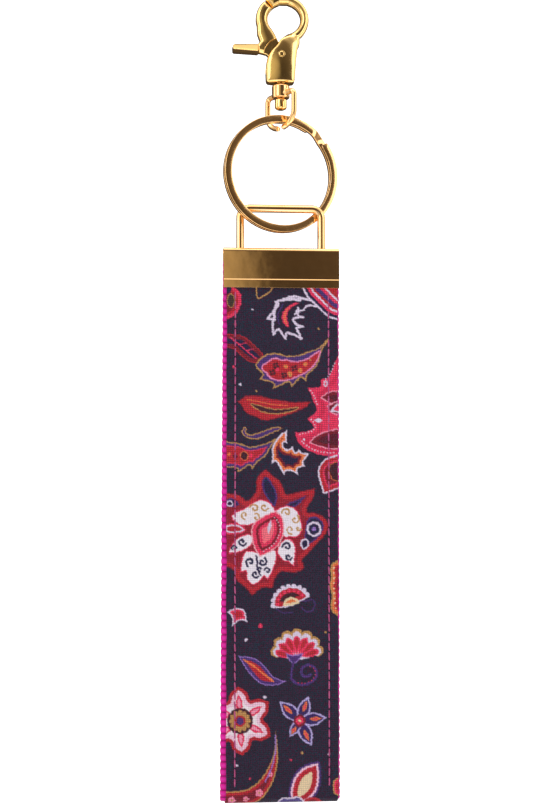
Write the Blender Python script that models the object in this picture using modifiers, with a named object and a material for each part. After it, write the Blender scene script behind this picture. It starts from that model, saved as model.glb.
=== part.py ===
"""Wristlet keychain: a lobster-claw swivel clasp, a split ring, a wire bail, a folded sheet clamp and a
wrist loop of webbing faced with printed canvas.

Metres, +Z up. The object hangs from its claw. The origin is the small flat seat at the top of the claw's
eye, +X is to the right and the front faces -Y.
"""

import math

import bmesh
import bpy
from mathutils import Vector

MM = 0.001

# ---------------------------------------------------------------- driving dimensions (millimetres)
# claw
EYE_C = (0.85, -4.2)  # centre of the eye in x and z
EYE_R = (4.55, 4.2)  # half width and half height of the eye
EYE_FLAT = 2.4  # width of the flat seat at the top of the eye
RIM_C = (0.40, -4.2)  # centre of the claw's outer round
RIM_R = (7.45, 7.0)
ARM_HALF = 1.9  # half depth of the hook arm, front to back
BODY_HALF = 3.1  # half depth of the body
BODY_BOTTOM = -22.3
SLOT_HALF = 1.30
SLOT_FLOOR = -19.4
PIVOT = (0.0, -14.6)  # gate pivot in x and z
PIN_R = 0.80
PIN_BORE_R = 0.88
GATE_SPLIT_DEG = 132.0  # where the gate's tip meets the hook's tip, round the eye
TONGUE_HALF = 1.05
TAB_HALF = 3.0
CHEEK_R = 4.5  # the cheeks stay inside this circle about the pivot on the gate's side
GATE_THICK_R = 4.85  # the gate is full depth outside this circle

# swivel
RIVET_R = 1.20
RIVET_BORE_R = 1.28
HUB_R = 2.5
HUB_TOP, HUB_BOTTOM = -22.85, -26.45
KNOB_R = 1.7
KNOB_TOP, KNOB_BOTTOM = -26.8, -29.8
EYE_WIRE_R = 0.75
STIRRUP_HALF = 6.0
STIRRUP_TOP = -25.3
STIRRUP_KNEE = -30.6
STIRRUP_LOW = -34.8
STIRRUP_YAW_DEG = -57.0

# split ring
RING_OUTER_R = 16.4
RING_WIRE_W = 2.0  # across, along the radius
RING_WIRE_T = 1.25  # along the ring's axis, one turn
RING_PITCH = 1.35  # between the two turns
RING_Z = -47.7
RING_YAW_DEG = 13.6
RING_SWING_Z = -32.3  # centre of the wire at the top of the ring

# bail
BAIL_WIRE_R = 1.125
BAIL_HALF = 11.3
BAIL_TOP = -57.45
BAIL_BOTTOM = -70.6
BAIL_CORNER = 2.7

# clamp
CLAMP_W = 32.0
CLAMP_TOP, CLAMP_BOTTOM = -68.7, -79.8
CLAMP_HALF = 2.7
SHEET = 0.6
LIP_TOP = -77.6
LIP_STEP = 0.16
SLOT_W = 2.95
SLOT_Y = 2.0

# strap
WEB_W = 32.0
WEB_NEAR, WEB_FAR = 0.30, 1.40  # distances from the middle plane
CANVAS_W = 30.7
CANVAS_X = 0.30
CANVAS_NEAR, CANVAS_FAR = 1.45, 1.90
END_TOP = -72.3  # the strap's ends inside the clamp
MOUTH_PIVOT = -80.7
SEGMENT = 34.1
FOLD_PIVOT = MOUTH_PIVOT - 4 * SEGMENT
STRAP_BOTTOM = -220.3
LEG_Y = 1.1  # the legs' hinge lines lie this far from the middle plane
GAP_SMALL, GAP_LARGE = 0.24, 0.36

# ---------------------------------------------------------------- scene
for old in list(bpy.data.objects):
    bpy.data.objects.remove(old, do_unlink=True)
for old in list(bpy.data.collections):
    bpy.data.collections.remove(old)

parts = bpy.data.collections.new("wristlet_keychain")
bpy.context.scene.collection.children.link(parts)
cutters = bpy.data.collections.new("cutters")
bpy.context.scene.collection.children.link(cutters)
cutters.hide_render = True


def material(name, colour, roughness, metallic):
    m = bpy.data.materials.new(name)
    m.use_nodes = True
    shader = m.node_tree.nodes["Principled BSDF"]
    shader.inputs["Base Color"].default_value = (*colour, 1.0)
    shader.inputs["Roughness"].default_value = roughness
    shader.inputs["Metallic"].default_value = metallic
    m.diffuse_color = (*colour, 1.0)
    return m


GOLD = (0.86, 0.60, 0.28)
STEEL = (0.60, 0.60, 0.62)
MAGENTA = (0.75, 0.02, 0.25)
NAVY = (0.030, 0.022, 0.045)


def empty(name, location, yaw=0.0, parent=None):
    e = bpy.data.objects.new(name, None)
    e.empty_display_size = 3 * MM
    parts.objects.link(e)
    e.parent = parent
    e.location = location
    e.rotation_euler = (0.0, 0.0, yaw)
    return e


def smooth(obj, degrees=35):
    obj.data.shade_smooth()
    obj.data.set_sharp_from_angle(angle=math.radians(degrees))


def link(obj, cutter=False):
    (cutters if cutter else parts).objects.link(obj)
    if cutter:
        obj.hide_render = True
        obj.display_type = "WIRE"


def meshed(curve_obj, cutter=False):
    """A curve object made a mesh, with its caps welded on."""
    link(curve_obj, cutter)
    bpy.context.view_layer.update()
    graph = bpy.context.evaluated_depsgraph_get()
    mesh = bpy.data.meshes.new_from_object(curve_obj.evaluated_get(graph))
    bm = bmesh.new()
    bm.from_mesh(mesh)
    bmesh.ops.remove_doubles(bm, verts=bm.verts, dist=1e-6)
    bmesh.ops.recalc_face_normals(bm, faces=bm.faces)
    bm.to_mesh(mesh)
    bm.free()
    name = curve_obj.name
    matrix = curve_obj.matrix_world.copy()
    bpy.data.objects.remove(curve_obj, do_unlink=True)
    obj = bpy.data.objects.new(name, mesh)
    mesh.name = name
    link(obj, cutter)
    obj.matrix_world = matrix
    return obj


def outline(name, points, half, y=0.0, cutter=False):
    """A flat outline in x and z, extruded by half to the front and to the back of y."""
    data = bpy.data.curves.new(name, "CURVE")
    data.dimensions = "2D"
    data.fill_mode = "BOTH"
    data.extrude = half * MM
    spline = data.splines.new("POLY")
    spline.points.add(len(points) - 1)
    for slot, (x, z) in zip(spline.points, points):
        slot.co = (x * MM, z * MM, 0.0, 1.0)
    spline.use_cyclic_u = True
    obj = bpy.data.objects.new(name, data)
    obj.rotation_euler = (math.radians(90), 0.0, 0.0)
    obj.location = (0.0, y * MM, 0.0)
    return meshed(obj, cutter)


def side_outline(name, points, half, x=0.0, cutter=False):
    """A flat outline in y and z, extruded along x."""
    data = bpy.data.curves.new(name, "CURVE")
    data.dimensions = "2D"
    data.fill_mode = "BOTH"
    data.extrude = half * MM
    spline = data.splines.new("POLY")
    spline.points.add(len(points) - 1)
    for slot, (y, z) in zip(spline.points, points):
        slot.co = (y * MM, z * MM, 0.0, 1.0)
    spline.use_cyclic_u = True
    obj = bpy.data.objects.new(name, data)
    obj.rotation_euler = (math.radians(90), 0.0, math.radians(90))
    obj.location = (x * MM, 0.0, 0.0)
    return meshed(obj, cutter)


def wire(name, points, radius, cyclic=False, resolution=2):
    """A round wire along points given in millimetres."""
    data = bpy.data.curves.new(name, "CURVE")
    data.dimensions = "3D"
    data.bevel_depth = radius * MM
    data.bevel_resolution = resolution
    data.use_fill_caps = True
    spline = data.splines.new("POLY")
    spline.points.add(len(points) - 1)
    for slot, p in zip(spline.points, points):
        slot.co = (p[0] * MM, p[1] * MM, p[2] * MM, 1.0)
    spline.use_cyclic_u = cyclic
    return meshed(bpy.data.objects.new(name, data))


def cylinder(name, radius, low, high, axis="Z", at=(0.0, 0.0), sides=32, cutter=False):
    """A cylinder between two heights along z, or between two depths along y, centred on at."""
    mesh = bpy.data.meshes.new(name)
    bm = bmesh.new()
    bmesh.ops.create_cone(
        bm,
        cap_ends=True,
        segments=sides,
        radius1=radius * MM,
        radius2=radius * MM,
        depth=(high - low) * MM,
    )
    bm.to_mesh(mesh)
    bm.free()
    obj = bpy.data.objects.new(name, mesh)
    link(obj, cutter)
    mid = (low + high) / 2 * MM
    if axis == "Z":
        obj.location = (at[0] * MM, at[1] * MM, mid)
    else:
        obj.rotation_euler = (math.radians(90), 0.0, 0.0)
        obj.location = (at[0] * MM, mid, at[1] * MM)
    return obj


def box(name, low, high, cutter=False):
    mesh = bpy.data.meshes.new(name)
    bm = bmesh.new()
    bmesh.ops.create_cube(bm, size=1.0)
    size = [(b - a) * MM for a, b in zip(low, high)]
    bmesh.ops.scale(bm, vec=size, verts=bm.verts)
    bm.to_mesh(mesh)
    bm.free()
    obj = bpy.data.objects.new(name, mesh)
    link(obj, cutter)
    obj.location = [(a + b) / 2 * MM for a, b in zip(low, high)]
    return obj


def bevel(obj, width, segments=1, angle=35):
    m = obj.modifiers.new("round_edges", "BEVEL")
    m.width = width * MM
    m.segments = segments
    m.limit_method = "ANGLE"
    m.angle_limit = math.radians(angle)
    m.harden_normals = False
    return m


def boolean(obj, other, operation="DIFFERENCE"):
    m = obj.modifiers.new(operation.lower() + "_" + other.name, "BOOLEAN")
    m.operation = operation
    m.solver = "EXACT"
    m.object = other


def finish(obj, mat, parent=None):
    obj.data.materials.clear()
    obj.data.materials.append(mat)
    if parent is not None:
        bpy.context.view_layer.update()
        world = obj.matrix_world.copy()
        obj.parent = parent
        obj.matrix_parent_inverse = parent.matrix_world.inverted()
        obj.matrix_world = world


def turned(name, profile, steps=32):
    """A solid turned about z: profile points (radius, z) run down the outer side, top to bottom."""
    mesh = bpy.data.meshes.new(name)
    bm = bmesh.new()
    verts = [bm.verts.new((r * MM, 0.0, z * MM)) for r, z in profile]
    for a, b in zip(verts, verts[1:]):
        bm.edges.new((a, b))
    bm.to_mesh(mesh)
    bm.free()
    obj = bpy.data.objects.new(name, mesh)
    link(obj)
    m = obj.modifiers.new("turn", "SCREW")
    m.axis = "Z"
    m.steps = steps
    m.render_steps = steps
    m.use_merge_vertices = True
    m.merge_threshold = 0.00001
    m.use_normal_calculate = True
    return obj


def ellipse(centre, radii, start, end, count):
    """Points round an ellipse from start to end, in degrees anticlockwise from +x."""
    out = []
    for i in range(count):
        a = math.radians(start + (end - start) * i / (count - 1))
        out.append((centre[0] + radii[0] * math.cos(a), centre[1] + radii[1] * math.sin(a)))
    return out


def rounded(points, radius, steps=4):
    """The closed outline with each corner replaced by an arc-like curve of about this radius."""
    out = []
    n = len(points)
    for i in range(n):
        p, a, b = Vector(points[i]), Vector(points[i - 1]), Vector(points[(i + 1) % n])
        ra = min(radius, (a - p).length * 0.45)
        rb = min(radius, (b - p).length * 0.45)
        s, e = p + (a - p).normalized() * ra, p + (b - p).normalized() * rb
        for k in range(steps + 1):
            t = k / steps
            q = s * (1 - t) ** 2 + p * 2 * t * (1 - t) + e * t**2
            out.append((q.x, q.y))
    return out


# ---------------------------------------------------------------- joint frames
claw = empty("claw_frame", (0, 0, 0))
gate_axis = empty("gate_axis", (PIVOT[0] * MM, 0, PIVOT[1] * MM), 0, claw)
swivel_axis = empty("swivel_axis", (0, 0, 0), 0, claw)
ring_axis = empty(
    "ring_axis", (0, 0, RING_SWING_Z * MM), math.radians(RING_YAW_DEG), swivel_axis
)
bail_axis = empty("bail_axis", (0, 0, 0), 0, None)
bpy.context.view_layer.update()
bail_axis.parent = ring_axis
bail_axis.matrix_parent_inverse = ring_axis.matrix_world.inverted()
clamp_axis = empty("clamp_axis", (0, 0, BAIL_BOTTOM * MM), 0, bail_axis)
bpy.context.view_layer.update()

gold = material("gold_plate", GOLD, 0.12, 1.0)

# ---------------------------------------------------------------- claw body
tip = GATE_SPLIT_DEG - 2.0
arm_points = ellipse(RIM_C, RIM_R, tip, -48.0, 40)
arm_points += [(4.75, -11.6), (2.6, -12.6), (1.0, -11.6), (0.35, -9.4)]
arm_points += [
    p
    for p in ellipse(EYE_C, EYE_R, -76.0, tip + 2, 36)
    if not abs(p[0] - EYE_C[0] + 0.0) < EYE_FLAT / 2 or p[1] < EYE_C[1]
]
# the seat: a straight run across the top of the eye
arm_points = [p if not (p[1] > -0.16 and p[1] < 0.5 and abs(p[0] - EYE_C[0]) < 1.6) else (p[0], 0.0) for p in arm_points]
arm = outline("claw_body", arm_points, ARM_HALF)
bevel(arm, 0.55, 2, 50)

body_points = [
    (-0.15, -10.0),
    (2.2, -9.0),
    (4.2, -9.2),
    (5.3, -10.6),
    (4.5, -13.2),
    (4.15, -16.5),
    (3.75, BODY_BOTTOM),
    (-4.15, BODY_BOTTOM),
    (-4.3, -18.6),
    (-3.9, -15.4),
    (-2.5, -13.2),
    (-1.1, -11.9),
]
body = outline("claw_cheeks", rounded(body_points, 0.9, 3), BODY_HALF)
bevel(body, 0.45, 2, 50)
link_body = body
link_body.hide_render = True
cutters.objects.link(body)
parts.objects.unlink(body)
body.display_type = "WIRE"
boolean(arm, body, "UNION")
slot = outline(
    "gate_slot",
    [(2.6, -17.2), (2.6, -12.3), (0.9, -10.6), (0.9, -8.0), (-9.0, -8.0), (-9.0, SLOT_FLOOR), (1.0, SLOT_FLOOR)],
    SLOT_HALF,
    cutter=True,
)
boolean(arm, slot)
pin_bore = cylinder("pin_bore", PIN_BORE_R, -5, 5, "Y", PIVOT, 28, cutter=True)
boolean(arm, pin_bore)
rivet_hole = cylinder("rivet_hole", 1.24, BODY_BOTTOM - 1, -20.2, sides=28, cutter=True)
boolean(arm, rivet_hole)
smooth(arm)
finish(arm, gold, claw)

pin = cylinder("gate_pin", PIN_R, -BODY_HALF, BODY_HALF, "Y", PIVOT, 24)
bevel(pin, 0.12, 1, 50)
smooth(pin)
finish(pin, material("gold_pin", GOLD, 0.2, 1.0), claw)

# ---------------------------------------------------------------- gate
jaw = ellipse(RIM_C, RIM_R, GATE_SPLIT_DEG + 1.2, 196.0, 16)
jaw += [
    (-6.65, -8.6),
    (-5.95, -10.6),
    (-6.9, -11.95),
    (-13.2, -12.1),
    (-13.5, -12.4),
    (-13.5, -13.1),
    (-13.2, -13.4),
    (-6.8, -13.7),
    (-4.2, -14.3),
    (-2.3, -16.0),
]
jaw += ellipse(PIVOT, (2.2, 2.2), 222.0, 405.0, 14)
jaw += [(-0.75, -10.4), (-1.6, -8.5)]
jaw += ellipse(EYE_C, EYE_R, 222.0, GATE_SPLIT_DEG + 1.2, 16)

gate = outline("gate", jaw, ARM_HALF)
bevel(gate, 0.5, 2, 60)
round_cut = cylinder("gate_round_cut", GATE_THICK_R, TONGUE_HALF, 6.0, "Y", PIVOT, 48, cutter=True)
round_cut_back = cylinder("gate_round_cut_back", GATE_THICK_R, -6.0, -TONGUE_HALF, "Y", PIVOT, 48, cutter=True)
boolean(gate, round_cut)
boolean(gate, round_cut_back)
tab = outline(
    "thumb_tab",
    [(-6.3, -11.9), (-13.2, -12.1), (-13.5, -12.4), (-13.5, -13.1), (-13.2, -13.4), (-6.3, -13.75)],
    TAB_HALF,
)
bevel(tab, 0.3, 2, 50)
cutters.objects.link(tab)
parts.objects.unlink(tab)
tab.hide_render = True
tab.display_type = "WIRE"
boolean(gate, tab, "UNION")
boolean(gate, pin_bore)
smooth(gate)
finish(gate, gold, gate_axis)

# the closing spring stands in the slot under the gate's heel
COIL_R, COIL_WIRE, COIL_LOW, COIL_HIGH, TURNS = 0.78, 0.17, -19.05, -16.75, 4
coil = []
for i in range(TURNS * 10 + 1):
    a = 2 * math.pi * i / 10
    coil.append(
        (
            -2.3 + COIL_R * math.cos(a),
            COIL_R * math.sin(a),
            COIL_LOW + (COIL_HIGH - COIL_LOW) * i / (TURNS * 10),
        )
    )
spring = wire("gate_spring", coil, COIL_WIRE, resolution=1)
smooth(spring, 60)
finish(spring, material("spring_steel", STEEL, 0.3, 1.0), claw)

# ---------------------------------------------------------------- swivel
rivet = turned(
    "swivel_rivet",
    [(0.0, -20.35), (RIVET_R - 0.12, -20.35), (RIVET_R, -20.5), (RIVET_R, KNOB_TOP), (KNOB_R, KNOB_TOP)]
    + [(KNOB_R, KNOB_BOTTOM + 0.9)]
    + [
        (KNOB_R * math.cos(a), KNOB_BOTTOM + 0.9 - 0.9 * math.sin(a))
        for a in (math.radians(d) for d in (22, 45, 67))
    ]
    + [(0.0, KNOB_BOTTOM)],
    28,
)
smooth(rivet)
finish(rivet, material("gold_rivet", GOLD, 0.14, 1.0), claw)

corner = 1.3
path = [(-STIRRUP_HALF, STIRRUP_KNEE)]
path += [(-STIRRUP_HALF, STIRRUP_TOP - corner)]
path += [
    (-STIRRUP_HALF + corner - corner * math.cos(a), STIRRUP_TOP - corner + corner * math.sin(a))
    for a in (math.radians(d) for d in (22.5, 45, 67.5, 90))
]
path += [(STIRRUP_HALF - corner, STIRRUP_TOP)]
path += [
    (STIRRUP_HALF - corner + corner * math.sin(a), STIRRUP_TOP - corner + corner * math.cos(a))
    for a in (math.radians(d) for d in (22.5, 45, 67.5, 90))
]
path += [(STIRRUP_HALF, STIRRUP_KNEE)]
path += ellipse((0.0, STIRRUP_KNEE), (STIRRUP_HALF, STIRRUP_KNEE - STIRRUP_LOW), -8.0, -172.0, 21)
hub = turned(
    "swivel_eye",
    [
        (0.0, HUB_TOP),
        (HUB_R - 0.55, HUB_TOP),
        (HUB_R - 0.15, HUB_TOP - 0.35),
        (HUB_R, HUB_TOP - 1.0),
        (HUB_R, HUB_BOTTOM + 0.5),
        (HUB_R - 0.3, HUB_BOTTOM),
        (0.0, HUB_BOTTOM),
    ],
    28,
)
stirrup = wire("stirrup_wire", [(x, 0.0, z) for x, z in path], EYE_WIRE_R, cyclic=True, resolution=2)
cutters.objects.link(stirrup)
parts.objects.unlink(stirrup)
stirrup.hide_render = True
stirrup.display_type = "WIRE"
boolean(hub, stirrup, "UNION")
hub_bore = cylinder("hub_bore", RIVET_BORE_R, HUB_BOTTOM - 1, HUB_TOP + 0.2, sides=28, cutter=True)
boolean(hub, hub_bore)
for o in (hub, stirrup):
    o.rotation_euler = (0.0, 0.0, math.radians(STIRRUP_YAW_DEG))
smooth(hub)
finish(hub, material("gold_eye", GOLD, 0.12, 1.0), swivel_axis)

# ---------------------------------------------------------------- split ring: one wire, two turns
# Seen from the front the wire starts at 36 degrees, runs clockwise, dives to the back turn at 54 to 38
# degrees, runs round once more and ends at 58 degrees.
RING_START, DIVE_FROM, DIVE_TO, RING_END = 36.0, 54.0 - 360.0, 38.0 - 360.0, 58.0 - 720.0
ring_points = []
angle = RING_START
STEP = 7.0
angles = []
while angle > DIVE_FROM:
    angles.append(angle)
    angle -= STEP
angle = DIVE_FROM
while angle > DIVE_TO:
    angles.append(angle)
    angle -= 2.0
angle = DIVE_TO
while angle > RING_END:
    angles.append(angle)
    angle -= STEP
angles.append(RING_END)
mid_r = RING_OUTER_R - RING_WIRE_W / 2
for a in angles:
    if a >= DIVE_FROM:
        side = -0.5
    elif a <= DIVE_TO:
        side = 0.5
    else:
        t = (DIVE_FROM - a) / (DIVE_FROM - DIVE_TO)
        side = -0.5 + t * t * (3 - 2 * t)
    ring_points.append(
        (mid_r * math.cos(math.radians(a)), mid_r * math.sin(math.radians(a)), -side * RING_PITCH)
    )
profile = bpy.data.curves.new("ring_profile", "CURVE")
profile.dimensions = "2D"
profile.fill_mode = "NONE"
ps = profile.splines.new("POLY")
hw, ht, ch = RING_WIRE_W / 2, RING_WIRE_T / 2, 0.16
corners = [
    (hw, ht - ch), (hw - ch, ht), (-hw + ch, ht), (-hw, ht - ch),
    (-hw, -ht + ch), (-hw + ch, -ht), (hw - ch, -ht), (hw, -ht + ch),
]
ps.points.add(len(corners) - 1)
for s, (u, v) in zip(ps.points, corners):
    s.co = (u * MM, v * MM, 0.0, 1.0)
ps.use_cyclic_u = True
profile_obj = bpy.data.objects.new("ring_profile", profile)
link(profile_obj, cutter=True)
ring_curve = bpy.data.curves.new("split_ring", "CURVE")
ring_curve.dimensions = "3D"
ring_curve.twist_mode = "Z_UP"
ring_curve.bevel_mode = "OBJECT"
ring_curve.bevel_object = profile_obj
ring_curve.use_fill_caps = True
rs = ring_curve.splines.new("POLY")
rs.points.add(len(ring_points) - 1)
for s, p in zip(rs.points, ring_points):
    s.co = (p[0] * MM, p[1] * MM, p[2] * MM, 1.0)
ring_obj = bpy.data.objects.new("split_ring", ring_curve)
ring_obj.rotation_euler = (math.radians(90), 0.0, math.radians(RING_YAW_DEG))
ring_obj.location = (0.0, 0.0, RING_Z * MM)
ring = meshed(ring_obj)
smooth(ring)
finish(ring, material("gold_ring", GOLD, 0.1, 1.0), ring_axis)

# ---------------------------------------------------------------- bail: a rounded rectangle of wire
rect = []
cx, top, low, c = BAIL_HALF, BAIL_TOP, BAIL_BOTTOM, BAIL_CORNER
for centre_x, centre_z, start in (
    (cx - c, top - c, 0.0),
    (-cx + c, top - c, 90.0),
    (-cx + 1.2, low + 1.2, 180.0),
    (cx - 1.2, low + 1.2, 270.0),
):
    r = c if start < 180 else 1.2
    n = 7 if start < 180 else 4
    for i in range(n):
        a = math.radians(start + 90.0 * i / (n - 1))
        rect.append((centre_x + r * math.cos(a), 0.0, centre_z + r * math.sin(a)))
bail = wire("bail", rect, BAIL_WIRE_R, cyclic=True, resolution=3)
smooth(bail, 50)
finish(bail, material("gold_bail", GOLD, 0.14, 1.0), bail_axis)

# ---------------------------------------------------------------- clamp: one folded sheet, open below
def wall(side, offset):
    """One wall's points from the top round down to the lip, offset inwards from the outer face."""
    h = CLAMP_HALF - offset
    r = 1.1 - offset if offset < 1.1 else 0.1
    pts = []
    for i in range(5):
        a = math.radians(90.0 * i / 4)
        pts.append((side * (CLAMP_HALF - 1.1 + r * math.sin(a)), CLAMP_TOP - 1.1 + r * math.cos(a)))
    pts += [
        (side * h, LIP_TOP + 0.2),
        (side * (h - LIP_STEP), LIP_TOP - 0.1),
        (side * (h - LIP_STEP), CLAMP_BOTTOM),
    ]
    return pts


outer = wall(1, 0.0)
outer_left = wall(-1, 0.0)
inner = wall(1, SHEET)
inner_left = wall(-1, SHEET)
section = list(reversed(outer_left)) + outer + list(reversed(inner)) + inner_left
clamp = side_outline("clamp", section, CLAMP_W / 2)
for name, x in (("bail_slot_left", -BAIL_HALF), ("bail_slot_right", BAIL_HALF)):
    cut = box(
        name,
        (x - SLOT_W / 2, -SLOT_Y, CLAMP_TOP - 1.0),
        (x + SLOT_W / 2, SLOT_Y, CLAMP_TOP + 1.0),
        cutter=True,
    )
    boolean(clamp, cut)
# bite points on the inner lips
for row, side in (("front", -1), ("back", 1)):
    count = 6 if side < 0 else 5
    for i in range(count):
        mesh = bpy.data.meshes.new(f"tooth_{row}_{i + 1}")
        bm = bmesh.new()
        bmesh.ops.create_cone(
            bm, cap_ends=True, segments=6, radius1=0.5 * MM, radius2=0.12 * MM, depth=0.38 * MM
        )
        bm.to_mesh(mesh)
        bm.free()
        tooth = bpy.data.objects.new(f"tooth_{row}_{i + 1}", mesh)
        link(tooth, cutter=True)
        x = (i - (count - 1) / 2) * 5.0
        tooth.rotation_euler = (math.radians(-90 if side < 0 else 90), 0.0, 0.0)
        tooth.location = (x * MM, side * (CLAMP_HALF - SHEET - 0.05) * MM, -75.6 * MM)
        boolean(clamp, tooth, "UNION")
smooth(clamp)
finish(clamp, material("gold_clamp", GOLD, 0.16, 1.0), clamp_axis)

# ---------------------------------------------------------------- strap
webbing = material("magenta_webbing", MAGENTA, 0.8, 0.0)
canvas = material("printed_canvas", NAVY, 0.85, 0.0)


def slab(name, x, width, near, far, top, bottom, side, mat, parent):
    """A flat run of the strap on the front (side -1) or back (side 1), with its ends chamfered."""
    a, b = sorted((side * near, side * far))
    obj = box(name, (x - width / 2, a, bottom), (x + width / 2, b, top))
    bevel(obj, 0.1, 1)
    finish(obj, mat, parent)
    return obj


parent = clamp_axis
chain = []
for leg, side in (("front", -1), ("back", 1)):
    slab(f"webbing_end_{leg}", 0.0, WEB_W - 0.4, WEB_NEAR, WEB_FAR, END_TOP, MOUTH_PIVOT + GAP_LARGE, side, webbing, clamp_axis)
    slab(f"canvas_end_{leg}", CANVAS_X - 0.1, CANVAS_W - 0.4, CANVAS_NEAR, CANVAS_FAR - 0.06, END_TOP, MOUTH_PIVOT + GAP_LARGE, side, canvas, clamp_axis)


def leg_run(leg, side, order, parent):
    """The four hinged runs of one leg, made in the order of the chain. Run 1 is the one at the clamp."""
    for n in order:
        top_z = MOUTH_PIVOT - (n - 1) * SEGMENT
        low_z = top_z - SEGMENT
        joint_z = top_z if side < 0 else low_z
        axis = empty(f"{leg}_{n}_axis", (0, 0, 0), 0, None)
        axis.location = (0.0, side * LEG_Y * MM, joint_z * MM)
        bpy.context.view_layer.update()
        axis.parent = parent
        axis.matrix_parent_inverse = parent.matrix_world.inverted()
        bpy.context.view_layer.update()
        top_gap = GAP_LARGE if n == 1 else GAP_SMALL
        low_gap = GAP_LARGE if n == 4 else GAP_SMALL
        slab(f"webbing_{leg}_{n}", 0.0, WEB_W, WEB_NEAR, WEB_FAR, top_z - top_gap, low_z + low_gap, side, webbing, axis)
        slab(f"canvas_{leg}_{n}", CANVAS_X if side < 0 else -CANVAS_X, CANVAS_W, CANVAS_NEAR, CANVAS_FAR, top_z - top_gap, low_z + low_gap, side, canvas, axis)
        parent = axis
    return parent


end = leg_run("front", -1, (1, 2, 3, 4), clamp_axis)
fold_axis = empty("fold_axis", (0, 0, 0), 0, None)
fold_axis.location = (0.0, -LEG_Y * MM, FOLD_PIVOT * MM)
bpy.context.view_layer.update()
fold_axis.parent = end
fold_axis.matrix_parent_inverse = end.matrix_world.inverted()
bpy.context.view_layer.update()


def fold(name, x, width, near, far, mat, bottom):
    """The strap's bottom, where it turns from the front leg to the back leg."""
    top = FOLD_PIVOT - GAP_LARGE
    centre = bottom + far
    out = [(-near, top), (-far, top)]
    out += [(far * math.cos(math.radians(a)), centre + far * math.sin(math.radians(a))) for a in range(180, 361, 15)]
    out += [(far, top), (near, top)]
    out += [(near * math.cos(math.radians(a)), centre + near * math.sin(math.radians(a))) for a in range(360, 179, -30)]
    obj = side_outline(name, out, width / 2, x)
    finish(obj, mat, fold_axis)
    return obj


fold("webbing_fold", 0.0, WEB_W, WEB_NEAR, WEB_FAR, webbing, STRAP_BOTTOM + CANVAS_FAR - WEB_FAR)
fold("canvas_fold", CANVAS_X * 0.0, CANVAS_W, CANVAS_NEAR, CANVAS_FAR, canvas, STRAP_BOTTOM)
leg_run("back", 1, (4, 3, 2, 1), fold_axis)
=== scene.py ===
"""Looks for the wristlet keychain: metal parts, the printed strap, thread, and a plain pale set."""

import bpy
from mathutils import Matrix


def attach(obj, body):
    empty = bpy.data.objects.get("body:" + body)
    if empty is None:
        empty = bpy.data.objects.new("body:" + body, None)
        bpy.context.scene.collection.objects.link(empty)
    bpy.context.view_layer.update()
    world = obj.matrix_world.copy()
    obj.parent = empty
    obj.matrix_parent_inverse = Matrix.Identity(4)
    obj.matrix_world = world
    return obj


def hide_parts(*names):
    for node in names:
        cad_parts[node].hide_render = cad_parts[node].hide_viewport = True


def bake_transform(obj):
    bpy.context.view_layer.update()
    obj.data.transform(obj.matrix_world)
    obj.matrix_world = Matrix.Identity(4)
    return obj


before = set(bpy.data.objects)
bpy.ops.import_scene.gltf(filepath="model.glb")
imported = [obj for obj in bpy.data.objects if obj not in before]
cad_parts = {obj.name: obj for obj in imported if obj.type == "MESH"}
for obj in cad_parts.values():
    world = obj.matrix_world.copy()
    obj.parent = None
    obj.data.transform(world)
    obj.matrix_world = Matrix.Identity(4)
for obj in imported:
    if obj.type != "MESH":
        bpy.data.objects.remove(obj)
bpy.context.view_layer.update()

import math

import bmesh
import bpy
import numpy as np
from mathutils import Vector

MM = 0.001
TAU = 2 * math.pi

# ================================================================ mesh helpers (millimetres in, metres out)


def make(name, verts, groups, sharp=35.0, normals=None):
    """A mesh object from an (n, 3) array and a list of face arrays, each (m, corners)."""
    verts = np.asarray(verts, float) * MM
    groups = [np.atleast_2d(np.asarray(g, np.int32)) for g in groups if len(g)]
    loops = np.concatenate([g.ravel() for g in groups])
    totals = np.concatenate([np.full(len(g), g.shape[1]) for g in groups])
    starts = np.concatenate([[0], np.cumsum(totals)[:-1]]).astype(np.int32)
    mesh = bpy.data.meshes.new(name)
    mesh.vertices.add(len(verts))
    mesh.vertices.foreach_set("co", verts.astype(np.float32).ravel())
    mesh.loops.add(len(loops))
    mesh.loops.foreach_set("vertex_index", loops)
    mesh.polygons.add(len(starts))
    mesh.polygons.foreach_set("loop_start", starts)
    mesh.update(calc_edges=True)
    mesh.validate()
    mesh.shade_smooth()
    if normals is not None:
        mesh.normals_split_custom_set_from_vertices([tuple(n) for n in normals])
    elif sharp is not None:
        mesh.set_sharp_from_angle(angle=math.radians(sharp))
    obj = bpy.data.objects.new(name, mesh)
    bpy.context.scene.collection.objects.link(obj)
    return obj


def paint_slot(obj, mat):
    obj.data.materials.clear()
    obj.data.materials.append(mat)
    return obj


def vector_attribute(obj, name, values):
    """A per-vertex vector the materials read, so that patterns stay put when the piece moves or bends."""
    a = obj.data.attributes.new(name, "FLOAT_VECTOR", "POINT")
    a.data.foreach_set("vector", np.asarray(values, np.float32).ravel())


def colour_attribute(obj, name, rgb):
    """Per-vertex colours, given in sRGB from 0 to 1."""
    rgb = np.clip(np.asarray(rgb, float), 0, 1)
    linear = np.where(rgb <= 0.04045, rgb / 12.92, ((rgb + 0.055) / 1.055) ** 2.4)
    a = obj.data.color_attributes.new(name, "FLOAT_COLOR", "POINT")
    rgba = np.ones((len(linear), 4), np.float32)
    rgba[:, :3] = linear
    a.data.foreach_set("color", rgba.ravel())
    obj.data.color_attributes.active_color = a


def circle_profile(radius, sides):
    t = np.arange(sides) * TAU / sides
    return np.c_[radius * np.cos(t), radius * np.sin(t)]


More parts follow.
